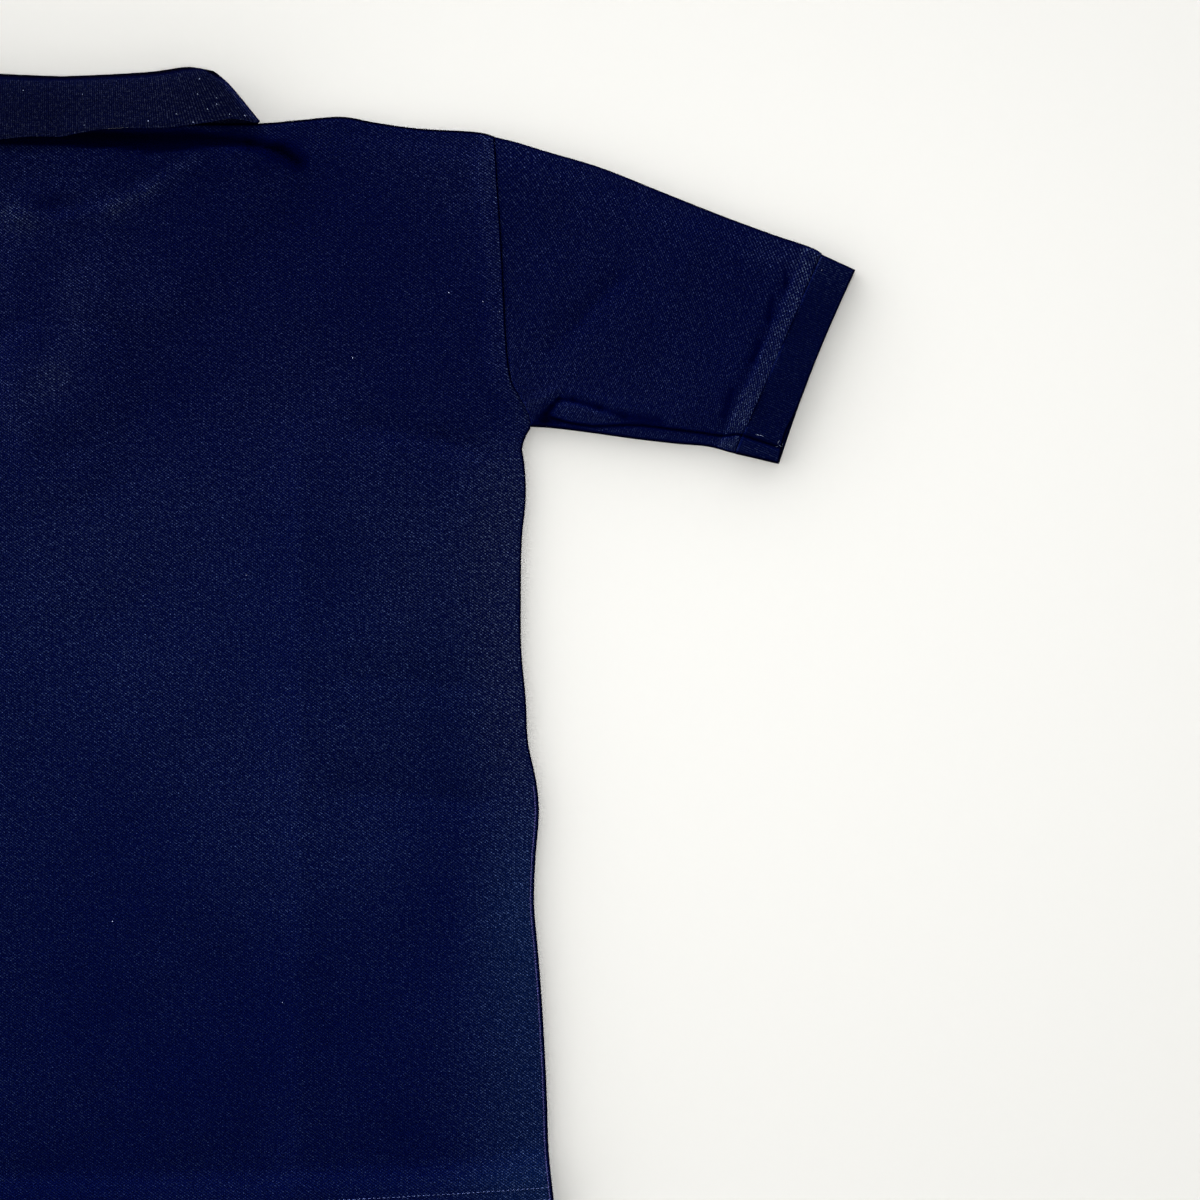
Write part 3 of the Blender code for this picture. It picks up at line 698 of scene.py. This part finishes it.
def pique(name, tones, fading):
    """Pique knit: staggered stitches in slanting rows, more marked one way than the other."""
    finish = Finish(name, 0.9)
    place = finish.weave_place()
    u, v, _ = finish.split(place)
    drift = (finish.noise(place, 200, 1.0) - 0.5) * 1.6
    across, along = u * (TURN_AROUND / PIQUE_ACROSS), v * (TURN_AROUND / PIQUE_ALONG)
    rows = (across + along + drift).cosine() * PIQUE_SLANT
    rows = rows + (across - along + drift).cosine() * (1 - PIQUE_SLANT)
    stitch = (rows * 0.5 + 0.5) ** 3.4 * 1.05
    shade_tone, dark, paler = tones
    sheen_shade_wear = finish.sheen_shade_wear()
    # a painted teal reflection over the lower body, strongest between the stitches where the side's
    # painted sheen lies
    hazed_ground = sheen_shade_wear * (1 - v.above(*HAZE_GROUND_HEIGHT))
    darker = v.above(*HAZE_HEIGHT)
    upper = v.above(*UPPER_HEIGHT)
    hazed_dark = finish.blend(u.above(*SIDE_FROM) * upper, HAZE_TONES[0], SIDE_GROUND)
    hazed_dark = finish.blend(hazed_ground.above(0.0, 0.6), hazed_dark, HAZE_TONES[2])
    dark = finish.blend(darker, hazed_dark, dark)
    paler = finish.blend(darker, HAZE_TONES[1], paler)
    # painted sheen: greyer stitch tops where the attribute is high on the upper body
    paler = finish.blend(sheen_shade_wear.above(0.10, 0.45) * upper, paler, SHEEN_GREY)
    yarn = dye(finish, stitch, place, (shade_tone, dark, paler), fading, PIQUE_LINT)
    finish.bump(stitch + yarn * 0.4, PIQUE_RELIEF)
    return finish.material


def rib_knit(name, tones, fading, relief, lint):
    """Flat-knit rib: ridges across the strip, with courses along it."""
    finish = Finish(name, 0.92)
    place = finish.weave_place()
    u, v, _ = finish.split(place)
    drift = (finish.noise(place, 180, 1.0) - 0.5) * 1.4
    ribs = (u * (TURN_AROUND / RIB_PITCH) + drift).cosine() * 0.5 + 0.5
    courses = (v * (TURN_AROUND / COURSE_PITCH) + drift).cosine() * 0.5 + 0.5
    knit = ribs ** 1.8 * (0.5 + 0.5 * courses)
    yarn = dye(finish, knit, place, tones, fading, lint)
    finish.bump(knit + yarn * 0.4, relief)
    return finish.material


def thread(name, colour, light):
    finish = Finish(name, 0.6)
    place = finish.add("ShaderNodeTexCoord", output="Object")
    fleck = finish.noise(place, 1400)
    finish.colour(finish.blend(fleck, colour, light))
    finish.bump(fleck, 0.05 * MM)
    return finish.material


def button_resin(name, dark, light):
    finish = Finish(name, 0.3, specular=0.4)
    place = finish.add("ShaderNodeTexCoord", output="Object")
    fine = finish.noise(place, 2600)
    finish.colour(finish.blend(finish.noise(place, 320, 3.0), dark, light))
    finish.feed(finish.surface["Roughness"], 0.24 + 0.2 * fine)
    finish.bump(fine, 0.015 * MM)
    return finish.material


pique_knit = pique("pique_knit", PIQUE_TONES, 0.12)
collar_rib = rib_knit("collar_rib", RIB_TONES, 0.13, COLLAR_RELIEF, COLLAR_LINT)
cuff_rib = rib_knit("cuff_rib", CUFF_TONES, 0.05, CUFF_RELIEF, CUFF_LINT)
navy_thread = thread("navy_thread", THREAD_NAVY, THREAD_LIGHT)
white_thread = thread("white_thread", THREAD_LIGHT, THREAD_WHITE)
seam_thread = thread("seam_thread", *THREAD_DUSTY)
button_navy = button_resin("button_navy", RESIN_NAVY, RESIN_LIGHT)


# Body

BACK_SHEEN_SHADE_WEAR = (  # a line, how much, its reach: above nothing, paler with painted highlights on ridges and bulges and with wear; below nothing, darker with painted shade in creases and in the tail of the hollow under the collar
    (83, -24, 56, -42.5, 0.2, 4.5), (56, -42.5, 33, -54.5, 0.28, 5), (33, -55, 33, -55, 0.2, 8),
    (-38, -57, -20, -62, 0.3, 8), (-36, -70, -36, -190, 0.12, 16),
    (-4.4, -160, -4.4, -160, 0.26, 12), (-4.4, -160, -20, -176, 0.12, 14),
    (-16, -53, -6, -51, -0.14, 8), (149, -204, 149.5, -640, 0.03, 2.5),
    (132, -420, 60, -280, 0.17, 82), (-60, -400, -30, -250, 0.13, 80),
    (205, -310, 205, -430, 0.09, 44), (150, -178, 226, -262, 0.09, 50),
    (226, -262, 226, -300, 0.1, 34), (60, -150, 150, -158, 0.02, 36),
    (-30, -34, 46, -112, 0.1, 40), (8, -108, 8, -134, 0.16, 15), (216, -20, 262, -30, 0.12, 24),
    (104, -11, 117, -13.6, -0.6, 3), (117, -13.6, 136, -18, -0.8, 3.3),
    (136, -18, 148, -25.4, -0.9, 4.2), (126, -27, 146, -14, -0.1, 7),
)
# the levels the attribute goes towards: painted shade, and the darker painted shade of edges
PAINTED_SHADE = -1.0
EDGE_SHADE = -2.0
SIDE_SHEEN = 0.44  # painted sheen beside the side seams, how far in, and how both change towards the hem
SIDE_REACH = 58
SIDE_SHEEN_LOW = -0.17
SIDE_REACH_LOW = 24
# painted sheen along the right of the hem
HEM_SHEEN = 0.09
ARMHOLE_HIGHLIGHT = 0.3  # painted highlight on the sleeve seam itself, and over its allowance
ARMHOLE_BAND = 0.13


def toward(sheen_shade_wear, level, share):
    return sheen_shade_wear + (level - sheen_shade_wear) * share


def back_sheen_shade_wear(x, y):
    inset = half_width(y) - np.abs(x)
    low = fade(y + 580, 120)
    # painted sheen beside the side seams, painted highlights on the armhole seam and the hem, and the
    # table's marks
    side = (SIDE_SHEEN + SIDE_SHEEN_LOW * low) * fade(inset - 2, SIDE_REACH + SIDE_REACH_LOW * low)
    side = side * fade(y - ARMPIT + 40, 60)
    seam = ARMHOLE_HIGHLIGHT * bell(inset - 1.7, 0.9) + ARMHOLE_BAND * fade(inset - 9, 5)
    hem = HEM_SHEEN * ease(x - 120, 140) * fade(y - hem_height(x) - 24, 14)
    sheen_shade_wear = np.clip(side + seam * (y > ARMPIT) + hem + folds(x, y, BACK_SHEEN_SHADE_WEAR), -1, 1)
    # painted shade along the back's side edges and shoulders
    edge = (1 - at_armpit(y)) * fade(inset - 0.2, 1.6)
    edge = np.maximum(edge, fade(back_top(x) - y - 0.2, 1.7) * (np.abs(x) > NECK_HALF))
    sheen_shade_wear = toward(sheen_shade_wear, EDGE_SHADE, edge)
    # painted shade in the hollow under the collar's fall
    inside, depth, above = hollow(x, y)
    darker = np.minimum(1.0, depth / 1.5) * (0.6 + 0.4 * ease(above - 3, 6))
    return sheen_shade_wear - np.maximum(sheen_shade_wear - PAINTED_SHADE, 0.0) * inside * darker


def body():
    points = panel(back_top, back_face, -TURN, 3.4)
    sheen_shade_wear = back_sheen_shade_wear(points[:, :, 0], points[:, :, 1])
    back = cloth("back_cloth", points, CLOTH, pique_knit, sheen_shade_wear)
    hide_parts("back")

    def beside_placket(x, y):
        return abs(x) > PLACKET_HALF or y < PLACKET_END

    points = panel(front_top, front_face, TURN, 5.0)
    inset = half_width(points[:, :, 1]) - np.abs(points[:, :, 0])
    # painted sheen along the front's side edges
    sheen_shade_wear = 0.25 * fade(inset - 1.0, 14)
    front = cloth("front_cloth", points, CLOTH, pique_knit, sheen_shade_wear, keep=beside_placket)
    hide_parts("front")
    return back, front


# Sleeves and cuffs


def half_round(first, last, outward, radius, steps):
    found = []
    for step in range(1, steps):
        a = math.pi * step / steps
        p = first + (last - first) * (1 - math.cos(a)) / 2
        p[:2] += outward * radius * math.sin(a)
        found.append(p)
    return found


def tube(table, shares, wall, gap, lift, opening=None, start=None):
    """Rings of a flattened sleeve or cuff, and how far along it each one is."""
    inset = gap / 2 + wall / 2
    rings = []
    for along, x0, y0, x1, y1 in table:
        top, low = np.array((x0, y0)), np.array((x1, y1))
        across = (low - top) / np.linalg.norm(low - top)
        out = np.array((-across[1], across[0]))
        span = low - top - 2 * across * inset
        flat = top + across * inset + np.outer(shares, span)
        if start:
            flat[:, 0] += start(shares) * (1 - along) ** 2
        over, under = opening(shares) if opening else (shares * 0, shares * 0)
        places = flat + np.outer(over * along**2, out)
        upper = np.column_stack((places, wall / 2 + gap + lift(*places.T, along)))
        places = flat + np.outer(under * along**2, out)
        lower = np.column_stack((places, np.full(len(shares), wall / 2)))[::-1]
        ring = [*upper, *half_round(upper[-1], lower[0], across, gap / 2, 6)]
        ring += [*lower, *half_round(lower[-1], upper[0], -across, gap / 2, 6)]
        rings.append([*ring, ring[0]])
    return np.array(rings)


SLEEVE_LINE = np.array(curve(SLEEVE_ROWS, 6))
SLEEVE_WAVES = ((92, 118, 0.3, 0.16), (57, 62, 2.2, 0.1), (38, 8, 4.1, 0.06))
BAND_WIDTH = 10  # the cuff seam's allowance, pressed up through the sleeve
BAND_RISE = 0.55
# painted highlight on the raised band of the cuff seam's allowance
BAND_HIGHLIGHT = 0.34
SEAM_DEPTH = 0.8  # how deep the underarm seam is drawn in, and how wide
SEAM_REACH = 1.3
SEAM_SHADE = 1.0  # how wide the painted shade along its groove is


def sleeve_inside(x, y):
    top = np.interp(x, SLEEVE_LINE[:, 1], SLEEVE_LINE[:, 2])
    low = np.interp(x, SLEEVE_LINE[:, 3], SLEEVE_LINE[:, 4])
    return np.maximum(np.minimum(top - y, y - low), 0.0)


def seam_normal():
    """The way from the sleeve to the cuff, square to their seam."""
    _, x0, y0, x1, y1 = SLEEVE_ROWS[-1]
    return np.array((y0 - y1, x1 - x0)) / math.hypot(x1 - x0, y1 - y0)


def cuff_seam_distance(x, y):
    """How far a place is from the line of the cuff's seam, on the sleeve's side."""
    _, x0, y0, _, _ = SLEEVE_ROWS[-1]
    out = seam_normal()
    return (x0 - x) * out[0] + (y0 - y) * out[1]


def along_seam(x, y, reach):
    """1 on the underarm seam, falling to 0 beside it."""
    near = [line_distance(x, y, *a, *b) for a, b in zip(UNDERARM_SEAM, UNDERARM_SEAM[1:])]
    return bell(np.min(near, axis=0), reach)


def dimples(x, y, first):
    """The sleeve's dimples: their rise from a row's place 4 on, their painted shade from its place 6.
    """
    return folds(x, y, [(*row[:4], *row[first : first + 2]) for row in SLEEVE_DIMPLES])


def sleeve_lift(x, y, along):
    inside = sleeve_inside(x, y)
    soft = ease(inside, SLEEVE_ROLL) * (SLEEVE_AIR + folds(x, y, SLEEVE_FOLDS))
    fine = ease(inside, 8) * waves(x, y, SLEEVE_WAVES)
    fine = fine + ease(inside, 3) * (folds(x, y, SLEEVE_CREASES) + dimples(x, y, 4))
    seam = cuff_seam_distance(x, y)
    band = BAND_RISE * within(seam, -1.4, 1.6, BAND_WIDTH - 1.5, 2.2)
    groove = 0.14 * bell(seam - BAND_WIDTH - 2.4, 2)
    armhole = 0.5 * fade(np.full_like(x, along), 0.016)
    lift = soft + fine + ease(inside, 3) * (band - groove - armhole)
    return np.maximum(lift - SEAM_DEPTH * along_seam(x, y, SEAM_REACH), -0.9)


SLEEVE_SHEEN_SHADE = (  # a line, how much, its reach: painted shade in the fold that runs into the armpit and in creases, a painted highlight on the bulge beside it, and painted sheen near the cuff
    (310.4, -173.2, 306.5, -177.6, -0.5, 1.1), (306.5, -177.6, 302.6, -182.6, -0.55, 1.7),
    (302.6, -184, 300.6, -186.5, -0.6, 3), (296, -189.4, 303, -187.8, -0.5, 2.4),
    (303, -187.4, 311.5, -187.6, -0.45, 1.8), (316, -180, 342, -186, 0.16, 6),
    (346, -99, 308, -143, -0.05, 7), (441, -121, 436, -137, -0.05, 2.6),
    (436, -80, 454, -88, 0.15, 8),
)


def sleeve_sheen_shade_wear(points):
    x, y = points[:, :, 0], points[:, :, 1]
    seam = cuff_seam_distance(x, y)
    top_end = fade(-y - 84, 26)
    width = BAND_WIDTH - 2.4 + 2.6 * ease(-y - 150, 34) + 3.2 * top_end
    width = width + 0.7 * np.sin(y * 0.21) + 0.4 * np.sin(y * 0.47)
    # painted highlight on the band over the cuff seam's allowance
    paler = BAND_HIGHLIGHT + 0.08 * (top_end + ease(-y - 160, 30)) + 0.05 * np.sin(y * 0.33)
    band = paler * within(seam, -0.6, 0.6, width, 1.8)
    inside = sleeve_inside(x, y)
    # painted sheen near the sleeve's edges, with the table's marks and the dimples' painted shade
    sheen_shade_wear = 0.04 + band + 0.1 * fade(inside, 7) + folds(x, y, SLEEVE_SHEEN_SHADE) + dimples(x, y, 6)
    # painted shade along the underarm seam's groove, and then along the sleeve's edges
    sheen_shade_wear = np.clip(toward(sheen_shade_wear, PAINTED_SHADE, along_seam(x, y, SEAM_SHADE)), -1, 1)
    return toward(sheen_shade_wear, EDGE_SHADE, fade(inside - 0.4, 1.5))


def near_underarm(coarse, fine):
    """Shares across a flattened tube, closer together towards its underarm side."""
    stretches = (((0.0, 0.04), fine), ((0.04, 0.84), coarse), ((0.84, 1.0), fine))
    return np.concatenate(((0.0,), *(spread(ends, step)[1:] for ends, step in stretches)))


def sleeves():
    _, x0, y0, x1, y1 = SLEEVE_ROWS[0]
    inset = SLEEVE_GAP / 2 + CLOTH / 2
    first, last = y0 - inset, y1 + inset
    shares = near_underarm(1 / 72, 1 / 190)

    def armhole(share):
        y = first + (last - first) * share
        straight = x0 + (x1 - x0) * (y - y0) / (y1 - y0)
        return half_width(y) - SEAM / 3 - straight

    steps = np.concatenate(((0.0, 0.004, 0.008, 0.013, 0.02), spread((0.028, 0.95, 1.0), 0.0095)))
    rows = np.column_stack([np.interp(steps, SLEEVE_LINE[:, 0], SLEEVE_LINE[:, k]) for k in range(5)])
    rows[-1, 1:] += 0.8 * SEAM * np.tile(seam_normal(), 2)
    rings = tube(rows, shares, CLOTH, SLEEVE_GAP, sleeve_lift, start=armhole)
    return both_sides("sleeve", rings, CLOTH, pique_knit, sleeve_sheen_shade_wear(rings))


def cuffs():
    rows = np.array(curve(CUFF_ROWS, 9))
    shares = near_underarm(1 / 56, 1 / 130)

    def lift(x, y, along):
        loose = CUFF_AIR + 0.12 * np.sin(y * 0.11) + 0.1 * math.sin(math.pi * along)
        return loose - SEAM_DEPTH * along_seam(x, y, SEAM_REACH)

    def opening(share):
        dip = -CUFF_DIP * np.sin(math.pi * share)
        middle, reach, hazed_ground = CUFF_BARE
        return dip - hazed_ground * bell(share - middle, reach), dip

    rings = tube(rows, shares, RIB, CUFF_GAP, lift, opening=opening)
    x, y = rings[:, :, 0], rings[:, :, 1]
    share = (y - rings[:, :1, 1]) / (y.min(axis=1, keepdims=True) - rings[:, :1, 1])
    # painted sheen near the cuff's top and bottom edges, and painted shade along its seam and all
    # round its edges
    sheen_shade_wear = 0.06 * fade(share, 0.2) + 0.04 * fade(1 - share, 0.12)
    sheen_shade_wear = toward(sheen_shade_wear, PAINTED_SHADE, along_seam(x, y, SEAM_SHADE))
    edge = np.maximum(fade(share + 0.012, 0.012), fade(1 - share - 0.001, 0.009))
    edge[-1] = 1.0
    return both_sides("cuff", rings, RIB, cuff_rib, toward(sheen_shade_wear, EDGE_SHADE, edge))


def both_sides(name, rings, wall, material, sheen_shade_wear):
    """Make the right piece and then its mirror image, each in place of its solid.

    Its courses run round the arm and its wales along it.
    """
    uv = arc_lengths(rings)[:, :, ::-1] * np.array((1.0, -1.0))
    for side, way in (("right", 1), ("left", -1)):
        points = rings * np.array((way, 1, 1))
        piece = cloth(f"{name}_{side}_cloth", points, wall, material, sheen_shade_wear, uv, closed=True)
        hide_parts(f"{name}_{side}")
        yield piece


# Collar

COLLAR_STEPS = 9
COLLAR_SPANS = (10, 4, 4, 16)
FOLD_SHADE = (PAINTED_SHADE, EDGE_SHADE, EDGE_SHADE, EDGE_SHADE, -1.4, -0.3)  # painted shade over the fold, to the fall's first row
TURN_STEPS = 3.0  # sections that the painted shade round the collar's end reaches over


def collar():
    right = curve([np.ravel(row) for row in COLLAR_ROWS], COLLAR_STEPS)
    first_of_fall = sum(COLLAR_SPANS[:-1])
    across, reach, drop = LEFT_SAG
    sections = []
    for side, rows in ((-1, reversed(right)), (1, right[1:])):
        for row in rows:
            on_top = row[-1] > LEAF_LIFT + LAYER
            edge_x = side * row[-3]
            sag = drop * bell(edge_x - across, reach) * on_top
            points = []
            for index, p in enumerate(curve(row.reshape(-1, 3), COLLAR_SPANS)):
                down = max(0, index - first_of_fall) / COLLAR_SPANS[-1]
                points.append((side * p[0], p[1] - sag * down, max(p[2], RIB / 2)))
            sections.append(points)
    points = np.array(sections)
    sheen_shade_wear = np.zeros(points.shape[:2])
    # painted highlight along the fall's edge
    sheen_shade_wear[:, -1] = 0.06
    sheen_shade_wear[:, first_of_fall + 1 - len(FOLD_SHADE) : first_of_fall + 1] = FOLD_SHADE
    steps = np.arange(len(points))[:, None]
    # painted shade round both ends of the fall
    for turn in (np.argmin(points[:, :, 0], axis=0), np.argmax(points[:, :, 0], axis=0)):
        round_end = bell(steps - turn, TURN_STEPS)
        round_end[:, :first_of_fall] = 0
        sheen_shade_wear = toward(sheen_shade_wear, EDGE_SHADE, round_end)
    uv = arc_lengths(points)
    piece = cloth("collar_cloth", points, RIB, collar_rib, sheen_shade_wear, uv, even=False)
    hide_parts("collar")
    return piece


# Placket

STRIP_INSET = 0.3
STRIP_TOP = -67


def placket():
    half = PLACKET_HALF - STRIP_INSET
    first = (STRIP - CLOTH) / 2
    for name, lift in (("placket_outer", first), ("placket_under", first + STRIP + SEAM)):
        down = spread((PLACKET_END + STRIP_INSET, STRIP_TOP), 2.4)
        x, y = np.meshgrid(spread((-half, half), 1.6), down)
        points = np.stack((x, y, front_middle(x, y) + lift), axis=2)
        # painted highlight along the strips' edges
        sheen_shade_wear = 0.3 * fade(half - np.abs(x), 2)
        strip = cloth(f"{name}_cloth", points, STRIP, pique_knit, sheen_shade_wear)
        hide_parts(name)
        yield strip


# Stitches: from one to the next, their length, and their thread's radius

HEM_STITCH = (3.1, 2.1, 0.26)
SIDE_STITCH = (1.9, 2.1, 0.42)
PLACKET_STITCH = (2.6, 1.8, 0.22)
BAR_STITCH = (0.5, 0.5, 0.55)
LOOP_STITCH = (0.34, 0.5, 0.28)
HEM_ROWS = (11.7, 19.2)  # above the hem's edge
ON_CLOTH = CLOTH / 2 + 0.02
CLEAR = 0.12  # the least height of a stitch on the underside
SIDE_THREAD_INSET = 2.3
SIDE_THREAD_TOP = -415
SLIT_HALF = 0.75
BAR_HALF = 7.4
HOLE_RING = 1.7


def stitches(name, path, stitch, material=navy_thread):
    """Short stitches end to end along a line of points."""
    pitch, length, radius = stitch
    path = np.asarray(path, float)
    steps = np.concatenate(((0.0,), np.cumsum(np.linalg.norm(np.diff(path, axis=0), axis=1))))
    bm = bmesh.new()
    count = int(steps[-1] / pitch)
    for k in range(count):
        ends = (k + 0.5) * steps[-1] / count + np.array((-length / 2, length / 2))
        a, b = (np.array([np.interp(e, steps, path[:, i]) for i in range(3)]) for e in ends)
        middle = Vector((a + b) / 2) - Vector((0, MIDDLE, 0))
        turned = Vector(b - a).to_track_quat("X", "Z").to_matrix().to_4x4()
        size = Matrix.Diagonal((length / 2, radius, radius * 0.8, 1.0))
        place = Matrix.Scale(MM, 4) @ Matrix.Translation(middle) @ turned @ size
        bmesh.ops.create_icosphere(bm, subdivisions=1, radius=1.0, matrix=place)
    return finished(name, bm, material)


def hem_stitches():
    for name, face, side in (("back", back_face, 1), ("front", front_face, -1)):
        for number, inset in enumerate(HEM_ROWS):
            reach = half_width(HEM_SIDE + inset) - 1.2
            x = np.linspace(-reach, reach, 240)
            y = hem_height(x) + inset
            z = np.maximum(face(x, y) + side * ON_CLOTH, CLEAR)
            path = np.column_stack((x, y, z))
            yield stitches(f"hem_stitches_{name}_{number}", path, HEM_STITCH)


def side_stitches():
    """The side seams' thread, which peeps out along the back's edges."""
    y = np.linspace(HEM_SIDE + 3.0, SIDE_THREAD_TOP, 120)
    for name, side in (("left", -1), ("right", 1)):
        x = side * (half_width(y) - SIDE_THREAD_INSET)
        path = np.column_stack((x, y, back_face(x, y) + ON_CLOTH))
        yield stitches(f"side_stitches_{name}", path, SIDE_STITCH, seam_thread)


def placket_stitches():
    """Topstitching down both sides of the placket, and the box across its foot."""
    half, low, high = PLACKET_HALF - 2.0, PLACKET_END + 3.0, STRIP_TOP - 1.0
    corners = ((-half, high), (-half, low), (half, low), (half, high))
    sides = np.concatenate([np.linspace(a, b, 60) for a, b in zip(corners, corners[1:])])
    bar = np.linspace((-half, low + 12), (half, low + 12), 20)
    for name, line in (("sides", sides), ("bar", bar)):
        z = np.maximum(front_middle(*line.T) - CLOTH / 2, CLEAR)
        path = np.column_stack((line, z))
        yield stitches(f"placket_stitches_{name}", path, PLACKET_STITCH)


def buttonholes():
    """Close bar stitches on both sides of each slit, seen past the button's edge."""
    for name, middle in BUTTON_HEIGHTS.items():
        for number, side in enumerate((-1, 1)):
            y = np.linspace(middle - BAR_HALF, middle + BAR_HALF, 30)
            x = np.full_like(y, side * SLIT_HALF)
            path = np.column_stack((x, y, front_middle(x, y) - CLOTH / 2))
            yield stitches(f"{name}_hole_{number}", path, BAR_STITCH)


def button_threads():
    """Two loops of thread through each button's holes."""
    reach = HOLE_RING * math.cos(math.pi / 4)
    for name, middle in BUTTON_HEIGHTS.items():
        for number, x in enumerate((-reach, reach)):
            y = middle + np.linspace(-reach, reach, 9)
            z = 0.42 - 0.16 * np.cos((y - middle) / reach * math.pi / 2)
            path = np.column_stack((np.full_like(y, x), y, np.maximum(z, 0.2)))
            yield stitches(f"{name}_thread_{number}", path, LOOP_STITCH)


# Loose thread and lint on the cloth: across, height along the body, turn, length
TUFTS = (
    (435, -195.8, -10, 4.2), (437.2, -196.2, -24, 3), (447.6, -200.2, 60, 2.6),
    (448.8, -202.6, -40, 2.4), (450.2, -201.4, 85, 2.2), (446.6, -203, 10, 1.8),
    (474.7, -93, 70, 1.1),
)
LINT_DOTS = (  # across, height along the body, radius
    (-23.1, 18.8, 0.3), (13.8, 16.3, 0.28), (15, -3.1, 0.26), (55, -0.6, 0.3), (72.5, 3.8, 0.3),
    (85.6, 16.3, 0.26), (86.9, 25.6, 0.3), (97.5, 13.8, 0.26), (97.5, 10, 0.26), (91.9, 6.9, 0.3),
    (83.1, -1.3, 0.28), (105.6, 3.8, 0.26), (115, 3.1, 0.26), (241.9, -106.9, 0.32),
    (181.9, -147.5, 0.34), (138.1, -550, 0.34), (31.9, -499.4, 0.3),
)
TUFT_RADIUS = 0.08
DROPPED_FROM = 60


def tufts(carriers):
    """Thread ends and dots of lint, each let down onto the cloth below it."""
    depsgraph = bpy.context.evaluated_depsgraph_get()
    surfaces = [BVHTree.FromObject(piece, depsgraph) for piece in carriers]
    bm = bmesh.new()
    ends = [(x, y, turn, length / 2, TUFT_RADIUS) for x, y, turn, length in TUFTS]
    dots = [(x, y, 0.0, radius, radius) for x, y, radius in LINT_DOTS]
    for x, y, turn, half, thick in (*ends, *dots):
        above = Vector((x, y - MIDDLE, DROPPED_FROM)) * MM
        hits = [surface.ray_cast(above, Vector((0, 0, -1)))[0] for surface in surfaces]
        height = max(hit.z for hit in hits if hit is not None)
        place = Matrix.Translation((above.x, above.y, height + 0.6 * thick * MM))
        turned = Matrix.Rotation(math.radians(turn), 4, "Z")
        size = Matrix.Diagonal((half * MM, thick * MM, 0.8 * thick * MM, 1.0))
        bmesh.ops.create_icosphere(bm, subdivisions=2, radius=1.0, matrix=place @ turned @ size)
    return finished("thread_ends", bm, white_thread)


back, front = body()
sleeve_right, sleeve_left = sleeves()
cuff_right, cuff_left = cuffs()
collar_cloth = collar()
strip_outer, strip_under = placket()
sewing = [*hem_stitches(), *side_stitches(), *placket_stitches()]
sewing += [*buttonholes(), *button_threads()]
ends = tufts((back, sleeve_right, cuff_right, collar_cloth))
for name in BUTTON_HEIGHTS:
    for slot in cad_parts[name].material_slots:
        slot.material = button_navy


# Studio

TENT = 0.02  # even light from all over the light tent
GLOW = 77  # and more of it low down, mostly from beyond the collar
GLOW_FROM = (-0.6, 0.8)
GLOW_HEIGHT = 0.1
WINDOW = 0.25  # a large window, far off
WINDOW_ANGLE = 34
WINDOW_AT = (-1.7, 1.9, 1.55)
OVERHEAD = 3.0  # a small lamp over the right shoulder
OVERHEAD_AT = (0.32, 0.12, 0.95)
OVERHEAD_SIZE = 0.4
BACKDROP = 0.95
FLOOR_HALF = 6.0
FLOOR_DROP = 0.05 * MM
SENSOR = 36


def studio():
    bm = bmesh.new()
    bmesh.ops.create_grid(bm, x_segments=1, y_segments=1, size=FLOOR_HALF)
    paper = Finish("pale_floor", 0.9, specular=0.0)
    paper.colour(FLOOR)
    floor = shaped("floor", bm, paper.material)
    floor.location.z = -FLOOR_DROP

    world = bpy.data.worlds.new("studio")
    world.use_nodes = True
    tent = Nodes(world.node_tree)
    x, y, z = tent.split(tent.add("ShaderNodeTexCoord"))
    side = (x * GLOW_FROM[0] + y * GLOW_FROM[1]) * 0.5 + 0.5
    low = (z.math("ABSOLUTE") * (-1 / GLOW_HEIGHT)).math("EXPONENT")
    glow = TENT + GLOW * low * (0.25 + 0.75 * side ** 2)
    seen = tent.add("ShaderNodeLightPath")  # the camera itself sees a plain backdrop
    glow = glow * (1 - seen) + BACKDROP * seen
    background = tent.tree.nodes["Background"].inputs
    tent.feed(background["Strength"], glow)
    tent.feed(background["Color"], (1.0, 1.0, 1.0))
    bpy.context.scene.world = world

    window = hung("window", "SUN", WINDOW, WINDOW_AT, (0.0, 0.0, 0.0))
    window.angle = math.radians(WINDOW_ANGLE)
    overhead = hung("overhead", "AREA", OVERHEAD, OVERHEAD_AT, (*OVERHEAD_AT[:2], 0.0))
    overhead.shape = "DISK"
    overhead.size = OVERHEAD_SIZE
    bpy.context.scene.view_settings.view_transform = "Standard"


def hung(name, kind, energy, place, target):
    light = bpy.data.lights.new(name, kind)
    light.energy = energy
    lamp = linked(name, light)
    lamp.location = place
    lamp.rotation_euler = (Vector(target) - lamp.location).to_track_quat("-Z", "Y").to_euler()
    return light


def camera():
    lens = bpy.data.cameras.new("camera")
    lens.type = "PERSP"
    lens.sensor_width = SENSOR
    lens.lens = SENSOR * CAMERA_HEIGHT / FRAME_WIDTH
    lens.clip_end = 20
    view = linked("camera", lens)
    x, y = FRAME_MIDDLE
    view.location = (x * MM, (y - MIDDLE) * MM, CAMERA_HEIGHT * MM)
    bpy.context.scene.camera = view


studio()
camera()
